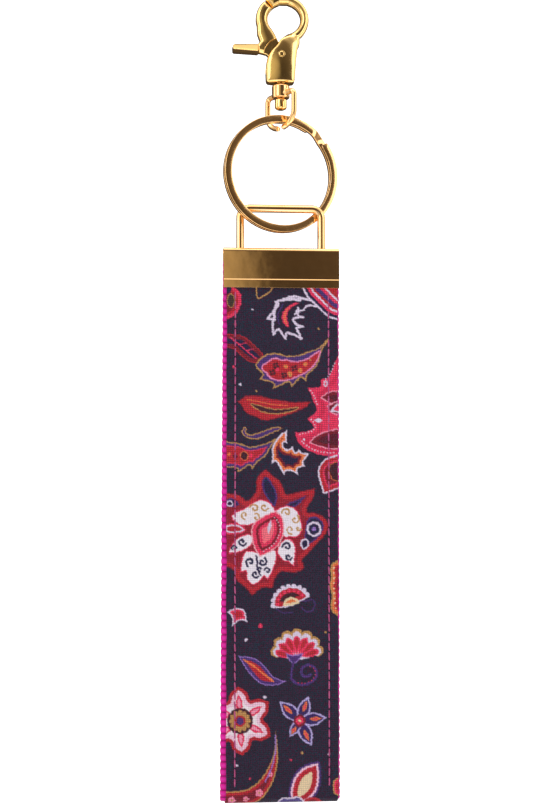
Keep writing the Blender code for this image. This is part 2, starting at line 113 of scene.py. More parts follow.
def rounded_rect(hu, hv, r, per=5):
    """A closed outline with rounded corners, anticlockwise."""
    pts = []
    for cu, cv, start in ((hu - r, hv - r, 0), (-hu + r, hv - r, 90), (-hu + r, -hv + r, 180), (hu - r, -hv + r, 270)):
        for i in range(per):
            a = math.radians(start + 90 * i / (per - 1))
            pts.append((cu + r * math.cos(a), cv + r * math.sin(a)))
    return np.array(pts)


def sweep(path, profile, binormal, cyclic=False, scale=None):
    """Profile (u, v) carried along a path; v runs along the fixed binormal, u across it. Ends are capped."""
    path = np.asarray(path, float)
    n, m = len(path), len(profile)
    b = np.asarray(binormal, float)
    if cyclic:
        tangent = np.roll(path, -1, 0) - np.roll(path, 1, 0)
    else:
        tangent = np.gradient(path, axis=0)
    tangent -= (tangent @ b)[:, None] * b
    tangent /= np.linalg.norm(tangent, axis=1)[:, None]
    across = np.cross(tangent, b)
    size = np.ones(n) if scale is None else np.asarray(scale, float)
    verts = (
        path[:, None, :]
        + across[:, None, :] * (profile[None, :, 0:1] * size[:, None, None])
        + b[None, None, :] * (profile[None, :, 1:2] * size[:, None, None])
    ).reshape(-1, 3)
    i = np.arange(n if cyclic else n - 1)[:, None]
    j = np.arange(m)[None, :]
    i2 = (i + 1) % n
    j2 = (j + 1) % m
    quads = np.stack([i * m + j, i2 * m + j, i2 * m + j2, i * m + j2], -1).reshape(-1, 4)
    groups = [quads]
    if not cyclic:
        groups.append(np.arange(m)[None, ::-1][:, ::-1] if False else np.arange(m)[None, :])
        groups.append(((n - 1) * m + np.arange(m))[None, ::-1])
    return verts, groups


def outward(obj):
    """Face directions made consistent and outward."""
    bm = bmesh.new()
    bm.from_mesh(obj.data)
    bmesh.ops.recalc_face_normals(bm, faces=bm.faces)
    bm.to_mesh(obj.data)
    bm.free()
    return obj


def lathe(profile, sides, centre=(0.0, 0.0), axis="Z", depth=0.0):
    """A turned solid. Profile is (radius, height) from one pole to the other, both with radius 0."""
    prof = np.asarray(profile, float)
    ring = prof[1:-1]
    n, m = len(ring), sides
    t = np.arange(m) * TAU / m
    x = ring[:, 0:1] * np.cos(t)
    y = ring[:, 0:1] * np.sin(t)
    z = np.repeat(ring[:, 1:2], m, 1)
    verts = np.stack([x, y, z], -1).reshape(-1, 3)
    poles = np.array([[0, 0, prof[0, 1]], [0, 0, prof[-1, 1]]])
    verts = np.r_[verts, poles]
    i = np.arange(n - 1)[:, None]
    j = np.arange(m)[None, :]
    j2 = (j + 1) % m
    quads = np.stack([i * m + j, i * m + j2, (i + 1) * m + j2, (i + 1) * m + j], -1).reshape(-1, 4)
    jj = np.arange(m)
    cap1 = np.stack([np.full(m, n * m), (jj + 1) % m, jj], -1)
    cap2 = np.stack([np.full(m, n * m + 1), (n - 1) * m + jj, (n - 1) * m + (jj + 1) % m], -1)
    if axis == "Y":
        verts = verts[:, [0, 2, 1]]
        verts[:, 0] += centre[0]
        verts[:, 2] += centre[1]
    else:
        verts[:, 0] += centre[0]
        verts[:, 1] += centre[1]
    return verts, [quads, cap1, cap2]


def ellipse(centre, radii, start, end, n):
    a = np.radians(np.linspace(start, end, n))
    return [(centre[0] + radii[0] * math.cos(t), centre[1] + radii[1] * math.sin(t)) for t in a]


def turned_by(verts, degrees, about=(0.0, 0.0)):
    """Points turned about a vertical line."""
    a = math.radians(degrees)
    v = np.array(verts, float)
    x, y = v[:, 0] - about[0], v[:, 1] - about[1]
    v[:, 0] = about[0] + x * math.cos(a) - y * math.sin(a)
    v[:, 1] = about[1] + x * math.sin(a) + y * math.cos(a)
    return v


# ---------------------------------------------------------------- distance fields, for the die-cast pieces


def polygon_distance(poly, x, z):
    """Signed distance in a plane to a closed outline, negative inside."""
    poly = np.asarray(poly, float)
    d2 = np.full(x.shape, 1e18)
    inside = np.zeros(x.shape, bool)
    for (x0, z0), (x1, z1) in zip(poly, np.roll(poly, -1, 0)):
        ex, ez = x1 - x0, z1 - z0
        wx, wz = x - x0, z - z0
        t = np.clip((wx * ex + wz * ez) / max(ex * ex + ez * ez, 1e-12), 0, 1)
        d2 = np.minimum(d2, (wx - ex * t) ** 2 + (wz - ez * t) ** 2)
        if z0 != z1:
            cross = (z0 > z) != (z1 > z)
            inside ^= cross & (x < (x1 - x0) * (z - z0) / (z1 - z0) + x0)
    return np.where(inside, -1.0, 1.0) * np.sqrt(d2)


def polyline_distance(pts, x, z, closed):
    pts = np.asarray(pts, float)
    d2 = np.full(x.shape, 1e18)
    nxt = np.roll(pts, -1, 0) if closed else pts[1:]
    for (x0, z0), (x1, z1) in zip(pts, nxt):
        ex, ez = x1 - x0, z1 - z0
        wx, wz = x - x0, z - z0
        t = np.clip((wx * ex + wz * ez) / max(ex * ex + ez * ez, 1e-12), 0, 1)
        d2 = np.minimum(d2, (wx - ex * t) ** 2 + (wz - ez * t) ** 2)
    return np.sqrt(d2)


def slab_field(d, y, half, r):
    """An outline's distance d pulled out to a plate of half depth, its edges rounded by r."""
    a = d + r
    b = np.abs(y) - half + r
    return np.minimum(np.maximum(a, b), 0) + np.hypot(np.maximum(a, 0), np.maximum(b, 0)) - r


def smin(a, b, k):
    h = np.maximum(k - np.abs(a - b), 0) / k
    return np.minimum(a, b) - h * h * k / 4


def smax(a, b, k):
    return -smin(-a, -b, k)


def surface(field, low, high, step):
    """Surface nets over field(x, y, z), settled onto the surface. Returns vertices, quads, normals."""
    axes = [np.arange(l, h + step, step) for l, h in zip(low, high)]
    gx, gy, gz = np.meshgrid(*axes, indexing="ij")
    f = field(gx, gy, gz)
    del gx, gy, gz
    s = f < 0
    n = np.array(f.shape)
    cells = np.zeros(tuple(n - 1), int)
    for dx in (0, 1):
        for dy in (0, 1):
            for dz in (0, 1):
                cells += s[dx : n[0] - 1 + dx, dy : n[1] - 1 + dy, dz : n[2] - 1 + dz]
    active = (cells > 0) & (cells < 8)
    index = np.full(active.shape, -1, np.int64)
    where = np.argwhere(active)
    index[active] = np.arange(len(where))
    total = np.zeros((len(where), 3))
    count = np.zeros(len(where))
    for axis in range(3):
        others = [k for k in range(3) if k != axis]
        for a in (0, 1):
            for b in (0, 1):
                o0 = np.zeros(3, int)
                o0[others[0]], o0[others[1]] = a, b
                o1 = o0.copy()
                o1[axis] = 1
                p0, p1 = where + o0, where + o1
                f0, f1 = f[tuple(p0.T)], f[tuple(p1.T)]
                hit = (f0 < 0) != (f1 < 0)
                t = np.where(hit, f0 / np.where(hit, f0 - f1, 1), 0)
                pos = p0.astype(float)
                pos[:, axis] += t
                total[hit] += pos[hit]
                count[hit] += 1
    verts = total / count[:, None] * step + np.array(low)
    quads = []
    for axis in range(3):
        u, v = [(1, 2), (2, 0), (0, 1)][axis]
        sl0 = [slice(None)] * 3
        sl1 = [slice(None)] * 3
        sl0[axis], sl1[axis] = slice(0, n[axis] - 1), slice(1, n[axis])
        for k in (u, v):
            sl0[k] = sl1[k] = slice(1, n[k] - 1)
        a, b = s[tuple(sl0)], s[tuple(sl1)]
        e = np.argwhere(a != b)
        if not len(e):
            continue
        e[:, u] += 1
        e[:, v] += 1
        flip = s[tuple(e.T)]
        ou, ov = np.zeros(3, int), np.zeros(3, int)
        ou[u], ov[v] = 1, 1
        q = np.stack([index[tuple((e - d).T)] for d in (ou + ov, ov, 0 * ou, ou)], -1)
        q[~flip] = q[~flip][:, ::-1]
        quads.append(q)
    quads = np.concatenate(quads)

    def gradient(v):
        g = np.zeros_like(v)
        h = step * 0.12
        for k in range(3):
            e = np.zeros(3)
            e[k] = h
            p, m = v + e, v - e
            g[:, k] = (field(p[:, 0], p[:, 1], p[:, 2]) - field(m[:, 0], m[:, 1], m[:, 2])) / (2 * h)
        return g / np.maximum(np.linalg.norm(g, axis=1), 1e-9)[:, None]

    for _ in range(3):
        g = gradient(verts)
        d = field(verts[:, 0], verts[:, 1], verts[:, 2])
        verts -= g * np.clip(d, -step, step)[:, None]
    return verts, quads, gradient(verts)

# ================================================================ the printed cloth
# A dark ground with scattered paisleys, leaves and flowers. Shapes are drawn in cloth units, 3.63 to the
# millimetre, x across the strap and y down it.

RED, CORAL, WHITE, PURPLE = (0.74, 0.14, 0.16), (0.93, 0.21, 0.35), (0.90, 0.84, 0.92), (0.30, 0.19, 0.45)
GOLD_C, ORANGE, DARK_RED, NAVY = (0.77, 0.57, 0.31), (0.93, 0.48, 0.25), (0.49, 0.09, 0.12), (0.11, 0.10, 0.23)
CREAM, LILAC, BROWN, GROUND = (0.95, 0.85, 0.68), (0.62, 0.47, 0.78), (0.25, 0.09, 0.10), (0.125, 0.098, 0.165)


def cut_corners(points, rounds=2, closed=True):
    """Corner cutting that leaves points marked with a third value sharp."""
    pts = [(p[0], p[1], len(p) > 2) for p in points]
    for _ in range(rounds):
        out = []
        n = len(pts)
        for i, (x, y, tip) in enumerate(pts):
            if tip or (not closed and i in (0, n - 1)):
                out.append((x, y, True))
                continue
            ax, ay, _a = pts[i - 1]
            bx, by, _b = pts[(i + 1) % n]
            out.append((x + (ax - x) * 0.25, y + (ay - y) * 0.25, False))
            out.append((x + (bx - x) * 0.25, y + (by - y) * 0.25, False))
        pts = out
    return np.array([(p[0], p[1]) for p in pts])


class Cloth:
    """Colours for a set of points on the cloth, painted back to front."""

    def __init__(self, x, y):
        self.x, self.y = x, y
        self.rgb = np.repeat(np.array([GROUND]), len(x), 0)

    def near(self, low, high, pad):
        return np.nonzero(
            (self.x > low[0] - pad) & (self.x < high[0] + pad) & (self.y > low[1] - pad) & (self.y < high[1] + pad)
        )[0]

    def put(self, index, cover, colour):
        c = np.clip(cover, 0, 1)[:, None]
        self.rgb[index] = self.rgb[index] * (1 - c) + np.array(colour) * c

    def nest(self, points, layers, soft=0.35, closed=True):
        """A closed shape filled in bands: each layer (inset, colour) covers what lies deeper than its inset."""
        poly = cut_corners(points)
        i = self.near(poly.min(0), poly.max(0), 2 + max(0, -min(l[0] for l in layers)))
        if not len(i):
            return
        d = polygon_distance(poly, self.x[i], self.y[i])
        for inset, colour in layers:
            self.put(i, (-d - inset) / (2 * soft) + 0.5, colour)

    def line(self, points, width, colour, soft=0.35, closed=False, dash=None):
        poly = cut_corners(points, closed=closed)
        i = self.near(poly.min(0), poly.max(0), width + 1)
        if not len(i):
            return
        d = polyline_distance(poly, self.x[i], self.y[i], closed)
        self.put(i, (width / 2 - d) / (2 * soft) + 0.5, colour)

    def dot(self, x, y, r, colour, soft=0.35):
        i = self.near((x - r, y - r), (x + r, y + r), 1)
        if len(i):
            self.put(i, (r - np.hypot(self.x[i] - x, self.y[i] - y)) / (2 * soft) + 0.5, colour)

    def dots(self, points, r, colour):
        for x, y in points:
            self.dot(x, y, r, colour)

    def beads(self, points, r, gap, colour):
        """Small dots spaced along a line."""
        poly = cut_corners(points, closed=False)
        seg = np.hypot(*np.diff(poly, axis=0).T)
        run = np.r_[0, np.cumsum(seg)]
        for s in np.arange(gap / 2, run[-1], gap):
            self.dot(np.interp(s, run, poly[:, 0]), np.interp(s, run, poly[:, 1]), r, colour)

    def curl(self, x, y, r, turns, start, colour, width, flip=1):
        t = np.linspace(0, 1, 26)
        a = np.radians(start) + flip * turns * TAU * t
        rr = r * (1 - 0.8 * t)
        self.line([(x + q * math.cos(p), y + q * math.sin(p)) for p, q in zip(a, rr)], width, colour)


def petals(cx, cy, r_in, r_out, count, turn, pinch=0.62):
    """A flower outline with pointed petals."""
    pts = []
    for i in range(count):
        a = math.radians(turn) + TAU * i / count
        h = TAU / count / 2
        pts.append((cx + r_in * math.cos(a - h), cy + r_in * math.sin(a - h)))
        m = (r_in * (1 - pinch) + r_out * pinch)
        pts.append((cx + m * math.cos(a - h * 0.62), cy + m * math.sin(a - h * 0.62)))
        pts.append((cx + r_out * math.cos(a), cy + r_out * math.sin(a), 1))
        pts.append((cx + m * math.cos(a + h * 0.62), cy + m * math.sin(a + h * 0.62)))
    return pts


def scallops(cx, cy, r, lobes, start, end, depth):
    """An arc with rounded lobes."""
    pts = []
    n = lobes * 6
    for i in range(n + 1):
        a = math.radians(start + (end - start) * i / n)
        w = abs(math.sin(math.pi * i / 6))
        q = r + depth * (w - 0.5)
        pts.append((cx + q * math.cos(a), cy + q * math.sin(a)))
    return pts


def paint_cloth(x, y):
    c = Cloth(x, y)
    # partial flower, top left
    c.nest([(170, 270), (234, 287), (239, 292), (241.5, 297), (240.4, 300), (241.5, 304), (239, 308), (238, 312), (234, 316), (230, 319), (170, 335)], [(0, CORAL), (3.2, RED), (6.0, DARK_RED)])
    c.nest([(230.4 + 3.4 * math.cos(a), 301 + 6.5 * math.sin(a)) for a in np.linspace(0, TAU, 12)[:-1]], [(-0.8, GOLD_C), (0, (0.25, 0.2, 0.12))])
    c.nest([(222, 284), (231, 286), (231, 293), (222, 295)], [(0, NAVY)])
    c.line([(255.6, 287), (256.5, 299.5), (261.5, 297), (269.6, 292), (272.6, 287)], 1.4, GOLD_C)
    c.dot(252, 310, 1.1, WHITE), c.dot(235, 325, 1.2, CORAL)
    # feathered crescent
    feather = [(310, 300), (302, 298), (295, 296), (288, 297), (282, 300), (275, 302, 1), (279, 304), (275, 309), (271, 314), (267, 319, 1), (273, 319), (272, 325), (273, 335, 1), (278, 328), (281, 333), (285, 339, 1), (286, 332), (290, 334), (297, 336), (301, 339, 1), (299, 333.5), (295, 328), (303, 326.5, 1), (297, 326), (291, 318), (303, 317, 1), (297, 316), (298, 308, 1), (295, 314)]
    c.nest([(300, 302), (292.5, 303), (285, 308), (281, 315), (282, 322), (287, 328), (289, 326), (286.6, 319.5), (286.6, 313.6), (290, 308), (297, 304)], [(0, CORAL), (1.3, (0.94, 0.42, 0.30))])
    c.line(feather, 2.3, WHITE)
    c.line([(283, 300), (290, 298.5), (300, 300)], 3.2, WHITE)
    c.line([(276, 305), (273.5, 312), (274, 320)], 2.8, WHITE)
    c.line([(295, 314), (298, 311), (304, 310), (305, 306), (310, 305), (316, 306)], 1.9, WHITE)
    c.line([(283, 304), (278.5, 311), (277, 318), (279, 324)], 1.2, PURPLE)
    # petal border, top right
    band = [(270, 230), (304, 292), (306.6, 297), (311, 301), (317, 307), (324, 314), (331, 319), (400, 335), (400, 230)]
    c.nest(band, [(0, WHITE), (1.9, NAVY), (4.6, CORAL), (7.4, WHITE), (9.4, RED), (11.6, PURPLE), (15.5, CORAL), (18.5, WHITE), (20.5, RED)])
    c.dot(318.4, 328.7, 1.2, GOLD_C)
    # dark red leaf, left
    leaf = [(170, 330), (237, 335), (244.5, 337), (250, 342), (255.6, 347), (261.5, 353), (266, 360, 1), (258, 363), (252, 364), (244.5, 360), (237, 353), (232, 348), (170, 344)]
    c.nest(leaf, [(0, RED), (1.0, DARK_RED), (4.4, NAVY)])
    c.line([(230, 338), (238.6, 345), (247, 352), (255.6, 359)], 1.3, CORAL)
    c.line([(238.6, 345), (246, 343.5)], 0.9, CORAL), c.line([(246, 351), (253, 349.5)], 0.9, CORAL)
    # first paisley
    pais = [(266, 354), (278, 353), (284, 356), (292.5, 356), (300, 355), (309, 351), (317, 349), (324, 343), (328.7, 337, 1), (328, 342), (321, 350.5), (319, 362), (315, 369), (306.6, 375), (306, 382, 1), (301, 377), (295.5, 383), (291, 388, 1), (289, 381.6), (281, 386), (272, 389.7, 1), (274, 384), (267, 382), (258.5, 380, 1), (263, 375), (258, 371), (254, 366), (259, 359)]
    c.nest(pais, [(0, GOLD_C), (1.5, PURPLE)])
    inner = [(270, 361), (275, 358.5), (280, 361.5), (286, 360.5), (292.5, 363), (303.6, 361.6), (313, 356), (321, 350), (315, 364), (306, 372), (296, 377), (285, 381), (274, 380), (268.5, 376.6), (266.7, 372.5), (262, 370.5), (262.5, 365.5), (266, 364.6)]
    c.nest(inner, [(-1.3, (0.93, 0.55, 0.72)), (0.2, RED)])
    for px, py in ((275.5, 366), (272, 373), (294, 368.6), (284, 375.6)):
        for k in range(4):
            a = TAU * k / 4 + 0.5
            c.dot(px + 2.1 * math.cos(a), py + 2.1 * math.sin(a), 1.35, BROWN)
    for px, py in ((285.5, 367), (305, 364.6), (289.5, 374), (300, 371)):
        c.dot(px, py, 2.3, ORANGE)
        c.dot(px - 0.4, py, 1.1, GOLD_C)
    c.dot(277, 370, 1.7, CORAL), c.dot(290, 376, 1.2, GOLD_C), c.dot(310, 360, 1.1, GOLD_C)
    c.dot(240, 385, 1.3, WHITE), c.dot(233, 367.5, 1.3, CORAL), c.dot(256, 392, 1.0, GOLD_C)
    # long red leaf
    c.nest([(236.7, 402, 1), (242, 399), (245, 396), (260, 396), (269, 399), (284, 401), (293, 403), (302.5, 402), (311, 402, 1), (307, 407.5), (299.5, 411), (287, 416), (280, 418), (270, 421), (263, 422), (255, 417.5), (247, 415), (243, 411), (242, 407)], [(0, DARK_RED), (0.9, RED)])
    c.nest([(249, 404), (260, 407), (272, 410.6), (287, 410), (300, 407.5), (291, 412), (276, 414.4), (264, 413), (255, 409)], [(-0.9, GOLD_C), (0.1, BROWN)])
    c.line([(247, 400.5), (258, 402), (272, 405.5), (288, 406)], 0.9, ORANGE)
    # large pink flower, right
    bloom = [(337, 357, 1), (331.7, 370.5), (328.7, 378.6), (320, 379), (321.6, 388), (307, 388.4, 1), (311, 394.5), (312.5, 402), (316, 407), (316, 413), (307, 419.4, 1), (314, 427), (312.5, 430), (302.5, 433), (294.5, 433, 1), (296, 440), (299.5, 445), (305.6, 450), (314, 454), (325.5, 457), (400, 462), (400, 340)]
    c.nest(bloom, [(0, CORAL), (4.5, (0.86, 0.16, 0.30)), (9, CORAL)])
    for spike in ([(321.6, 398, 1), (330, 392), (344, 392), (344, 404), (333, 405)], [(344, 400), (333, 404), (328, 407, 1), (331, 413), (344, 416)], [(310, 443, 1), (316, 437), (324, 433), (344, 429), (344, 449), (330, 449), (321.6, 447)]):
        c.nest(spike, [(-1.2, (0.98, 0.62, 0.72)), (0, DARK_RED), (3.2, (0.35, 0.05, 0.10))])
    c.nest([(330, 412, 1), (333, 407), (338, 403), (344, 402), (344, 414)], [(0, WHITE), (1.8, CORAL)])
    c.nest([(325.5 + 2.4 * math.cos(a), 384 + 3.4 * math.sin(a)) for a in np.linspace(0, TAU, 11)[:-1]], [(0, WHITE), (1.3, CORAL)])
    c.nest([(313.5, 421, 1), (318, 418), (322.5, 421, 1), (318, 424)], [(0, WHITE)])
    c.beads([(335, 362), (330.5, 374), (325, 380)], 0.7, 3.0, WHITE), c.beads([(309.5, 390), (315, 398), (317, 406)], 0.7, 3.0, WHITE)
    c.beads([(310, 419), (317, 428), (309, 433), (299, 435)], 0.7, 3.0, WHITE), c.beads([(300, 441), (308, 448), (320, 453), (336, 453.5)], 0.7, 3.2, WHITE)
    c.dot(303.7, 440, 1.2, WHITE)
    # gold-edged scroll
    scroll = [(283, 429, 1), (280, 430.5), (269, 435), (259, 440), (250.5, 440), (243.6, 437), (240.5, 433), (244, 427), (247, 429), (245, 433), (249, 436), (258, 433.6), (269, 429), (276.5, 427)]
    c.nest(scroll, [(0, GOLD_C), (1.1, PURPLE)])
    # second paisley, left
    c.nest([(170, 436), (236, 443), (243, 445), (249, 448), (258, 446), (267, 443.5), (277, 438.5, 1), (269.6, 449), (266, 456.5), (256.6, 463), (252, 470, 1), (250, 465), (243.6, 469.5), (237.5, 473, 1), (237, 466.5), (170, 474)], [(0, GOLD_C), (1.3, PURPLE), (3.6, CORAL), (4.8, RED)])
    c.nest([(244 + 3.5 * math.cos(a), 456.5 + 4 * math.sin(a)) for a in np.linspace(0, TAU, 11)[:-1]], [(-0.9, ORANGE), (0, BROWN)])
    c.dot(250.8, 456.3, 2.0, CORAL), c.dot(235, 457, 2.2, BROWN), c.dot(229, 455, 1.5, ORANGE)
    # orange feathered crescent
    feather2 = [(287, 430.5, 1), (281, 434), (275, 441), (271, 449), (272, 456.5), (271, 465, 1), (275, 461), (280, 469.5), (283.4, 475.6, 1), (286, 471), (292, 472), (298, 476, 1), (296, 469), (305, 467, 1), (302, 463), (309.4, 454, 1), (301, 453.4), (298.7, 449.6, 1), (295, 454), (292, 447, 1), (287, 451), (282.6, 446.6), (283.4, 442.7), (287, 444, 1), (286, 438)]
    c.nest(feather2, [(0, WHITE), (1.7, ORANGE), (4.0, DARK_RED), (6.2, NAVY)])
    # looped petal, right
    c.nest([(328, 457), (321.6, 462), (317, 470), (318, 479.5), (321, 487), (322.4, 496), (329, 492.5), (400, 470), (400, 440)], [(0, WHITE), (1.7, RED), (5.0, CORAL), (6.6, DARK_RED)])
    c.nest([(329, 466), (338, 462), (344, 466), (344, 480), (334, 482), (329, 475)], [(-0.8, ORANGE), (0, BROWN)])
    # large red and white flower
    outer = [(170, 490), (236.7, 494), (243, 499), (245.6, 503), (253, 497.5), (257, 489.5), (255.5, 482), (259, 475), (265.7, 470, 1), (272.4, 477), (279.6, 482), (283, 490), (285, 496.6), (297, 493), (314, 489.5, 1), (313.5, 498), (306.4, 507), (305.5, 513.6), (315, 513.6), (324, 518), (328, 525), (326, 534), (315, 545), (306, 555.5), (300, 560), (304.6, 568), (295.6, 573), (286.7, 571.6), (279.6, 570.7), (273, 579.6), (272.4, 588.6), (263.5, 586), (257, 590), (252, 595, 1), (244, 585), (235, 579), (235, 567), (170, 548)]
    c.nest(outer, [(-0.6, DARK_RED), (0.4, RED), (4.6, (0.60, 0.10, 0.14))])
    for core in ([(261.7, 480.5), (266, 476), (270.6, 482), (276, 491), (277, 500), (274, 509), (266, 498), (261.7, 489.5)], [(282, 509), (286.7, 504), (295.6, 501), (306, 496, 1), (299, 504.6), (292, 509)], [(228, 498), (236, 500), (240, 506), (232, 508), (224, 506)], [(306, 520), (313, 516), (322, 521), (324, 529), (318, 538), (309, 545), (303, 549), (304, 536)]):
        c.nest(core, [(0, PURPLE), (1.6, NAVY)])
    w1 = [(274.7, 512, 1), (270.6, 504.6), (264.4, 500.6), (257, 501), (248, 507), (242, 511), (236, 512), (231, 517), (235, 522.5), (243, 526), (254, 524)]
    w2 = [(276, 511, 1), (283, 507), (291, 507), (297, 512), (300, 521), (302, 530), (296.5, 538), (290, 536), (284, 538.6), (280, 528)]
    w3 = [(278.7, 546), (283, 541), (288.5, 538.6), (295, 546), (294, 556), (293, 566, 1), (288, 561), (283, 561), (279, 556), (277, 552)]
    w4 = [(246.5, 550), (242, 558), (240.7, 571.6, 1), (247, 569), (247, 579, 1), (252, 585), (260, 580.5), (263.5, 574), (267, 579, 1), (272.4, 570), (276, 558), (275, 549), (262, 555)]
    w5 = [(251, 534), (239, 537), (231, 546), (229, 553, 1), (239, 552), (248, 547.5), (253, 542)]
    for w in (w1, w2, w3, w4, w5):
        c.nest(w, [(-0.8, CORAL), (0.2, (0.97, 0.93, 0.96))])
    c.nest([(224, 524), (236, 523), (245, 527), (246, 532), (236, 535), (224, 534)], [(0, CORAL), (1.4, WHITE), (3.0, RED)])
    for x, y, r, n, start, tone, w in (
        (254, 509, 4.6, 1.0, 200, GOLD_C, 1.5), (264, 507.5, 4.0, 0.9, 20, GOLD_C, 1.5), (244.5, 515.5, 4.0, 0.9, 90, GOLD_C, 1.5),
        (256, 518, 4.0, 0.9, 250, GOLD_C, 1.5), (286, 513, 4.6, 1.0, 180, GOLD_C, 1.5), (294.5, 520, 4.6, 1.0, 300, GOLD_C, 1.5),
        (290, 530, 4.4, 0.9, 80, GOLD_C, 1.5), (298, 529, 2.6, 0.8, 10, GOLD_C, 1.4), (286.5, 547, 4.4, 1.0, 180, NAVY, 2.0),
        (288, 557, 3.6, 0.9, 20, NAVY, 1.9), (250, 562, 4.6, 1.0, 120, NAVY, 2.0), (262, 562, 4.6, 1.0, 300, NAVY, 2.0),
        (255, 574, 3.8, 0.9, 40, NAVY, 1.9), (267, 571, 3.4, 0.8, 200, NAVY, 1.8), (242, 542, 4.4, 1.0, 20, NAVY, 2.0),
        (234.5, 548, 3.0, 0.9, 160, NAVY, 1.8), (260, 569, 2.6, 0.8, 100, NAVY, 1.8)):
        c.curl(x, y, r, n, start, tone, w)
    c.line([(256, 556), (257, 562), (256.5, 568), (260, 575)], 1.6, NAVY)
    c.dot(313.5, 529.6, 7.6, WHITE), c.dot(313.5, 529.6, 5.3, NAVY), c.dot(313.5, 529.6, 2.2, LILAC)
    c.nest([(300, 541, 1), (305, 538), (309, 542), (308, 548), (303, 551), (300, 547)], [(0, WHITE), (1.7, NAVY)])
    c.dot(229.6, 504, 3.4, WHITE), c.dot(229.6, 504, 2.0, NAVY)
    oval = [(275, 512, 1), (281, 517), (283, 522.5), (283, 534), (280, 541), (277, 546.6), (269, 552), (260, 556, 1), (255, 549), (253, 543), (251.4, 531), (253, 525), (257, 521), (265, 516)]
    c.nest(oval, [(-0.8, (0.98, 0.70, 0.74)), (0.4, CORAL), (4.0, DARK_RED), (6.4, CORAL), (9.6, (0.98, 0.45, 0.50))])
    c.nest([(270.5, 520, 1), (271.5, 526), (268, 535, 1), (266.6, 528)], [(0, WHITE)])
    c.beads([(273, 517), (279.5, 524), (279.5, 534), (274, 545), (263, 551.5)], 0.6, 3.2, WHITE)
    # right edge motif
    c.nest([(400, 548), (334, 560), (329, 568), (331, 577), (328, 586), (332, 596), (329, 606), (333, 616), (400, 640)], [(0, GOLD_C), (1.6, ORANGE), (4.0, RED), (7.0, DARK_RED)])
    c.beads([(333, 566), (334, 578), (333, 590), (334, 604), (337, 613)], 0.9, 5.0, CREAM)
    # first fan
    c.line([(300, 600), (305, 601.5), (312, 599), (315, 604), (312, 611), (305, 612), (301, 607)], 1.5, (0.26, 0.16, 0.38))
    c.line([(276, 609), (283, 613), (292, 612)], 1.3, (0.26, 0.16, 0.38))
    for k in range(10):
        a = math.radians(176 + 17.0 * k)
        c.dot(291 + 18.2 * math.cos(a), 604 + 17.6 * math.sin(a), 2.7, WHITE)
    c.nest([(291 + 16.6 * math.cos(a), 604 + 16.0 * math.sin(a)) for a in np.radians(np.linspace(172, 334, 16))] + [(299, 600), (291, 604.5), (283, 606)], [(-1.6, WHITE), (0, RED), (4.4, BROWN)])
    for k in range(8):
        a = math.radians(180 + 20.0 * k)
        c.dot(291 + 14.0 * math.cos(a), 604 + 13.6 * math.sin(a), 1.7, CORAL)
    c.nest([(291 + 8.4 * math.cos(a), 604.5 + 7.6 * math.sin(a)) for a in np.radians(np.linspace(165, 352, 12))], [(0, CREAM), (2.4, ORANGE)])
    # bell
    c.nest([(226.7, 611, 1), (234.7, 607), (243.5, 608), (246, 614), (247, 622, 1), (242, 619), (237, 621), (232, 625.6, 1), (232.5, 617.6), (230, 613)], [(0, WHITE), (1.5, CORAL), (3.2, RED)])
    c.dot(260, 625, 2.1, CORAL), c.dot(246, 639, 1.6, WHITE), c.dot(264.5, 695.5, 1.7, WHITE), c.dot(325, 632, 1.2, GOLD_C)
    # second fan
    for k in range(7):
        a = math.radians(184 + 28.4 * k)
        c.dot(296.5 + 20.8 * math.cos(a), 652 + 18.4 * math.sin(a), 5.6, GOLD_C)
    for k in range(7):
        a = math.radians(184 + 28.4 * k)
        c.dot(296.5 + 19.4 * math.cos(a), 652.4 + 16.8 * math.sin(a), 4.6, WHITE)
    c.nest([(296.5 + 20 * math.cos(a), 653 + 17 * math.sin(a)) for a in np.radians(np.linspace(180, 360, 15))] + [(304, 659), (289, 659)], [(0, WHITE)])
    for k in range(7):
        a = math.radians(190 + 26.4 * k)
        tip = (296.5 + 22.0 * math.cos(a), 654 + 18.6 * math.sin(a))
        dx, dy = tip[0] - 296, tip[1] - 657
        q = math.hypot(dx, dy)
        nx, ny = -dy / q * 4.9, dx / q * 4.9
        c.nest([(296 + dx * 0.12, 657 + dy * 0.12, 1), (296 + dx * 0.72 + nx, 657 + dy * 0.72 + ny), (tip[0] + nx * 0.3, tip[1] + ny * 0.3), (tip[0] - nx * 0.3, tip[1] - ny * 0.3), (296 + dx * 0.72 - nx, 657 + dy * 0.72 - ny)], [(0, CORAL), (1.7, RED)])
    c.nest([(285, 652, 1), (293, 655), (303, 652, 1), (299, 659), (293, 664), (288, 659)], [(0, LILAC), (1.0, PURPLE)])
    c.line([(293, 661), (291, 669), (290.7, 677)], 2.2, PURPLE)
    c.line([(291, 678), (296, 683), (304, 684), (312, 681), (317, 674), (314, 666), (307, 663.5), (301, 667), (300.5, 673), (305, 676.5), (310, 674)], 2.6, PURPLE)
    c.beads([(296, 681.5), (304, 682.6), (312, 679), (315.4, 673), (313, 667), (307, 665)], 0.6, 3.4, CORAL)
    # leaf
    c.nest([(238, 654.5, 1), (250, 655.5), (258.7, 659), (266.7, 667), (273, 676.5), (285.6, 680, 1), (277, 684), (262, 684), (253.6, 677), (245.6, 667)], [(0, LILAC), (1.0, PURPLE), (3.8, RED)])
    c.line([(244, 658.5), (255, 665.6), (264, 673), (273, 680)], 1.8, ORANGE)
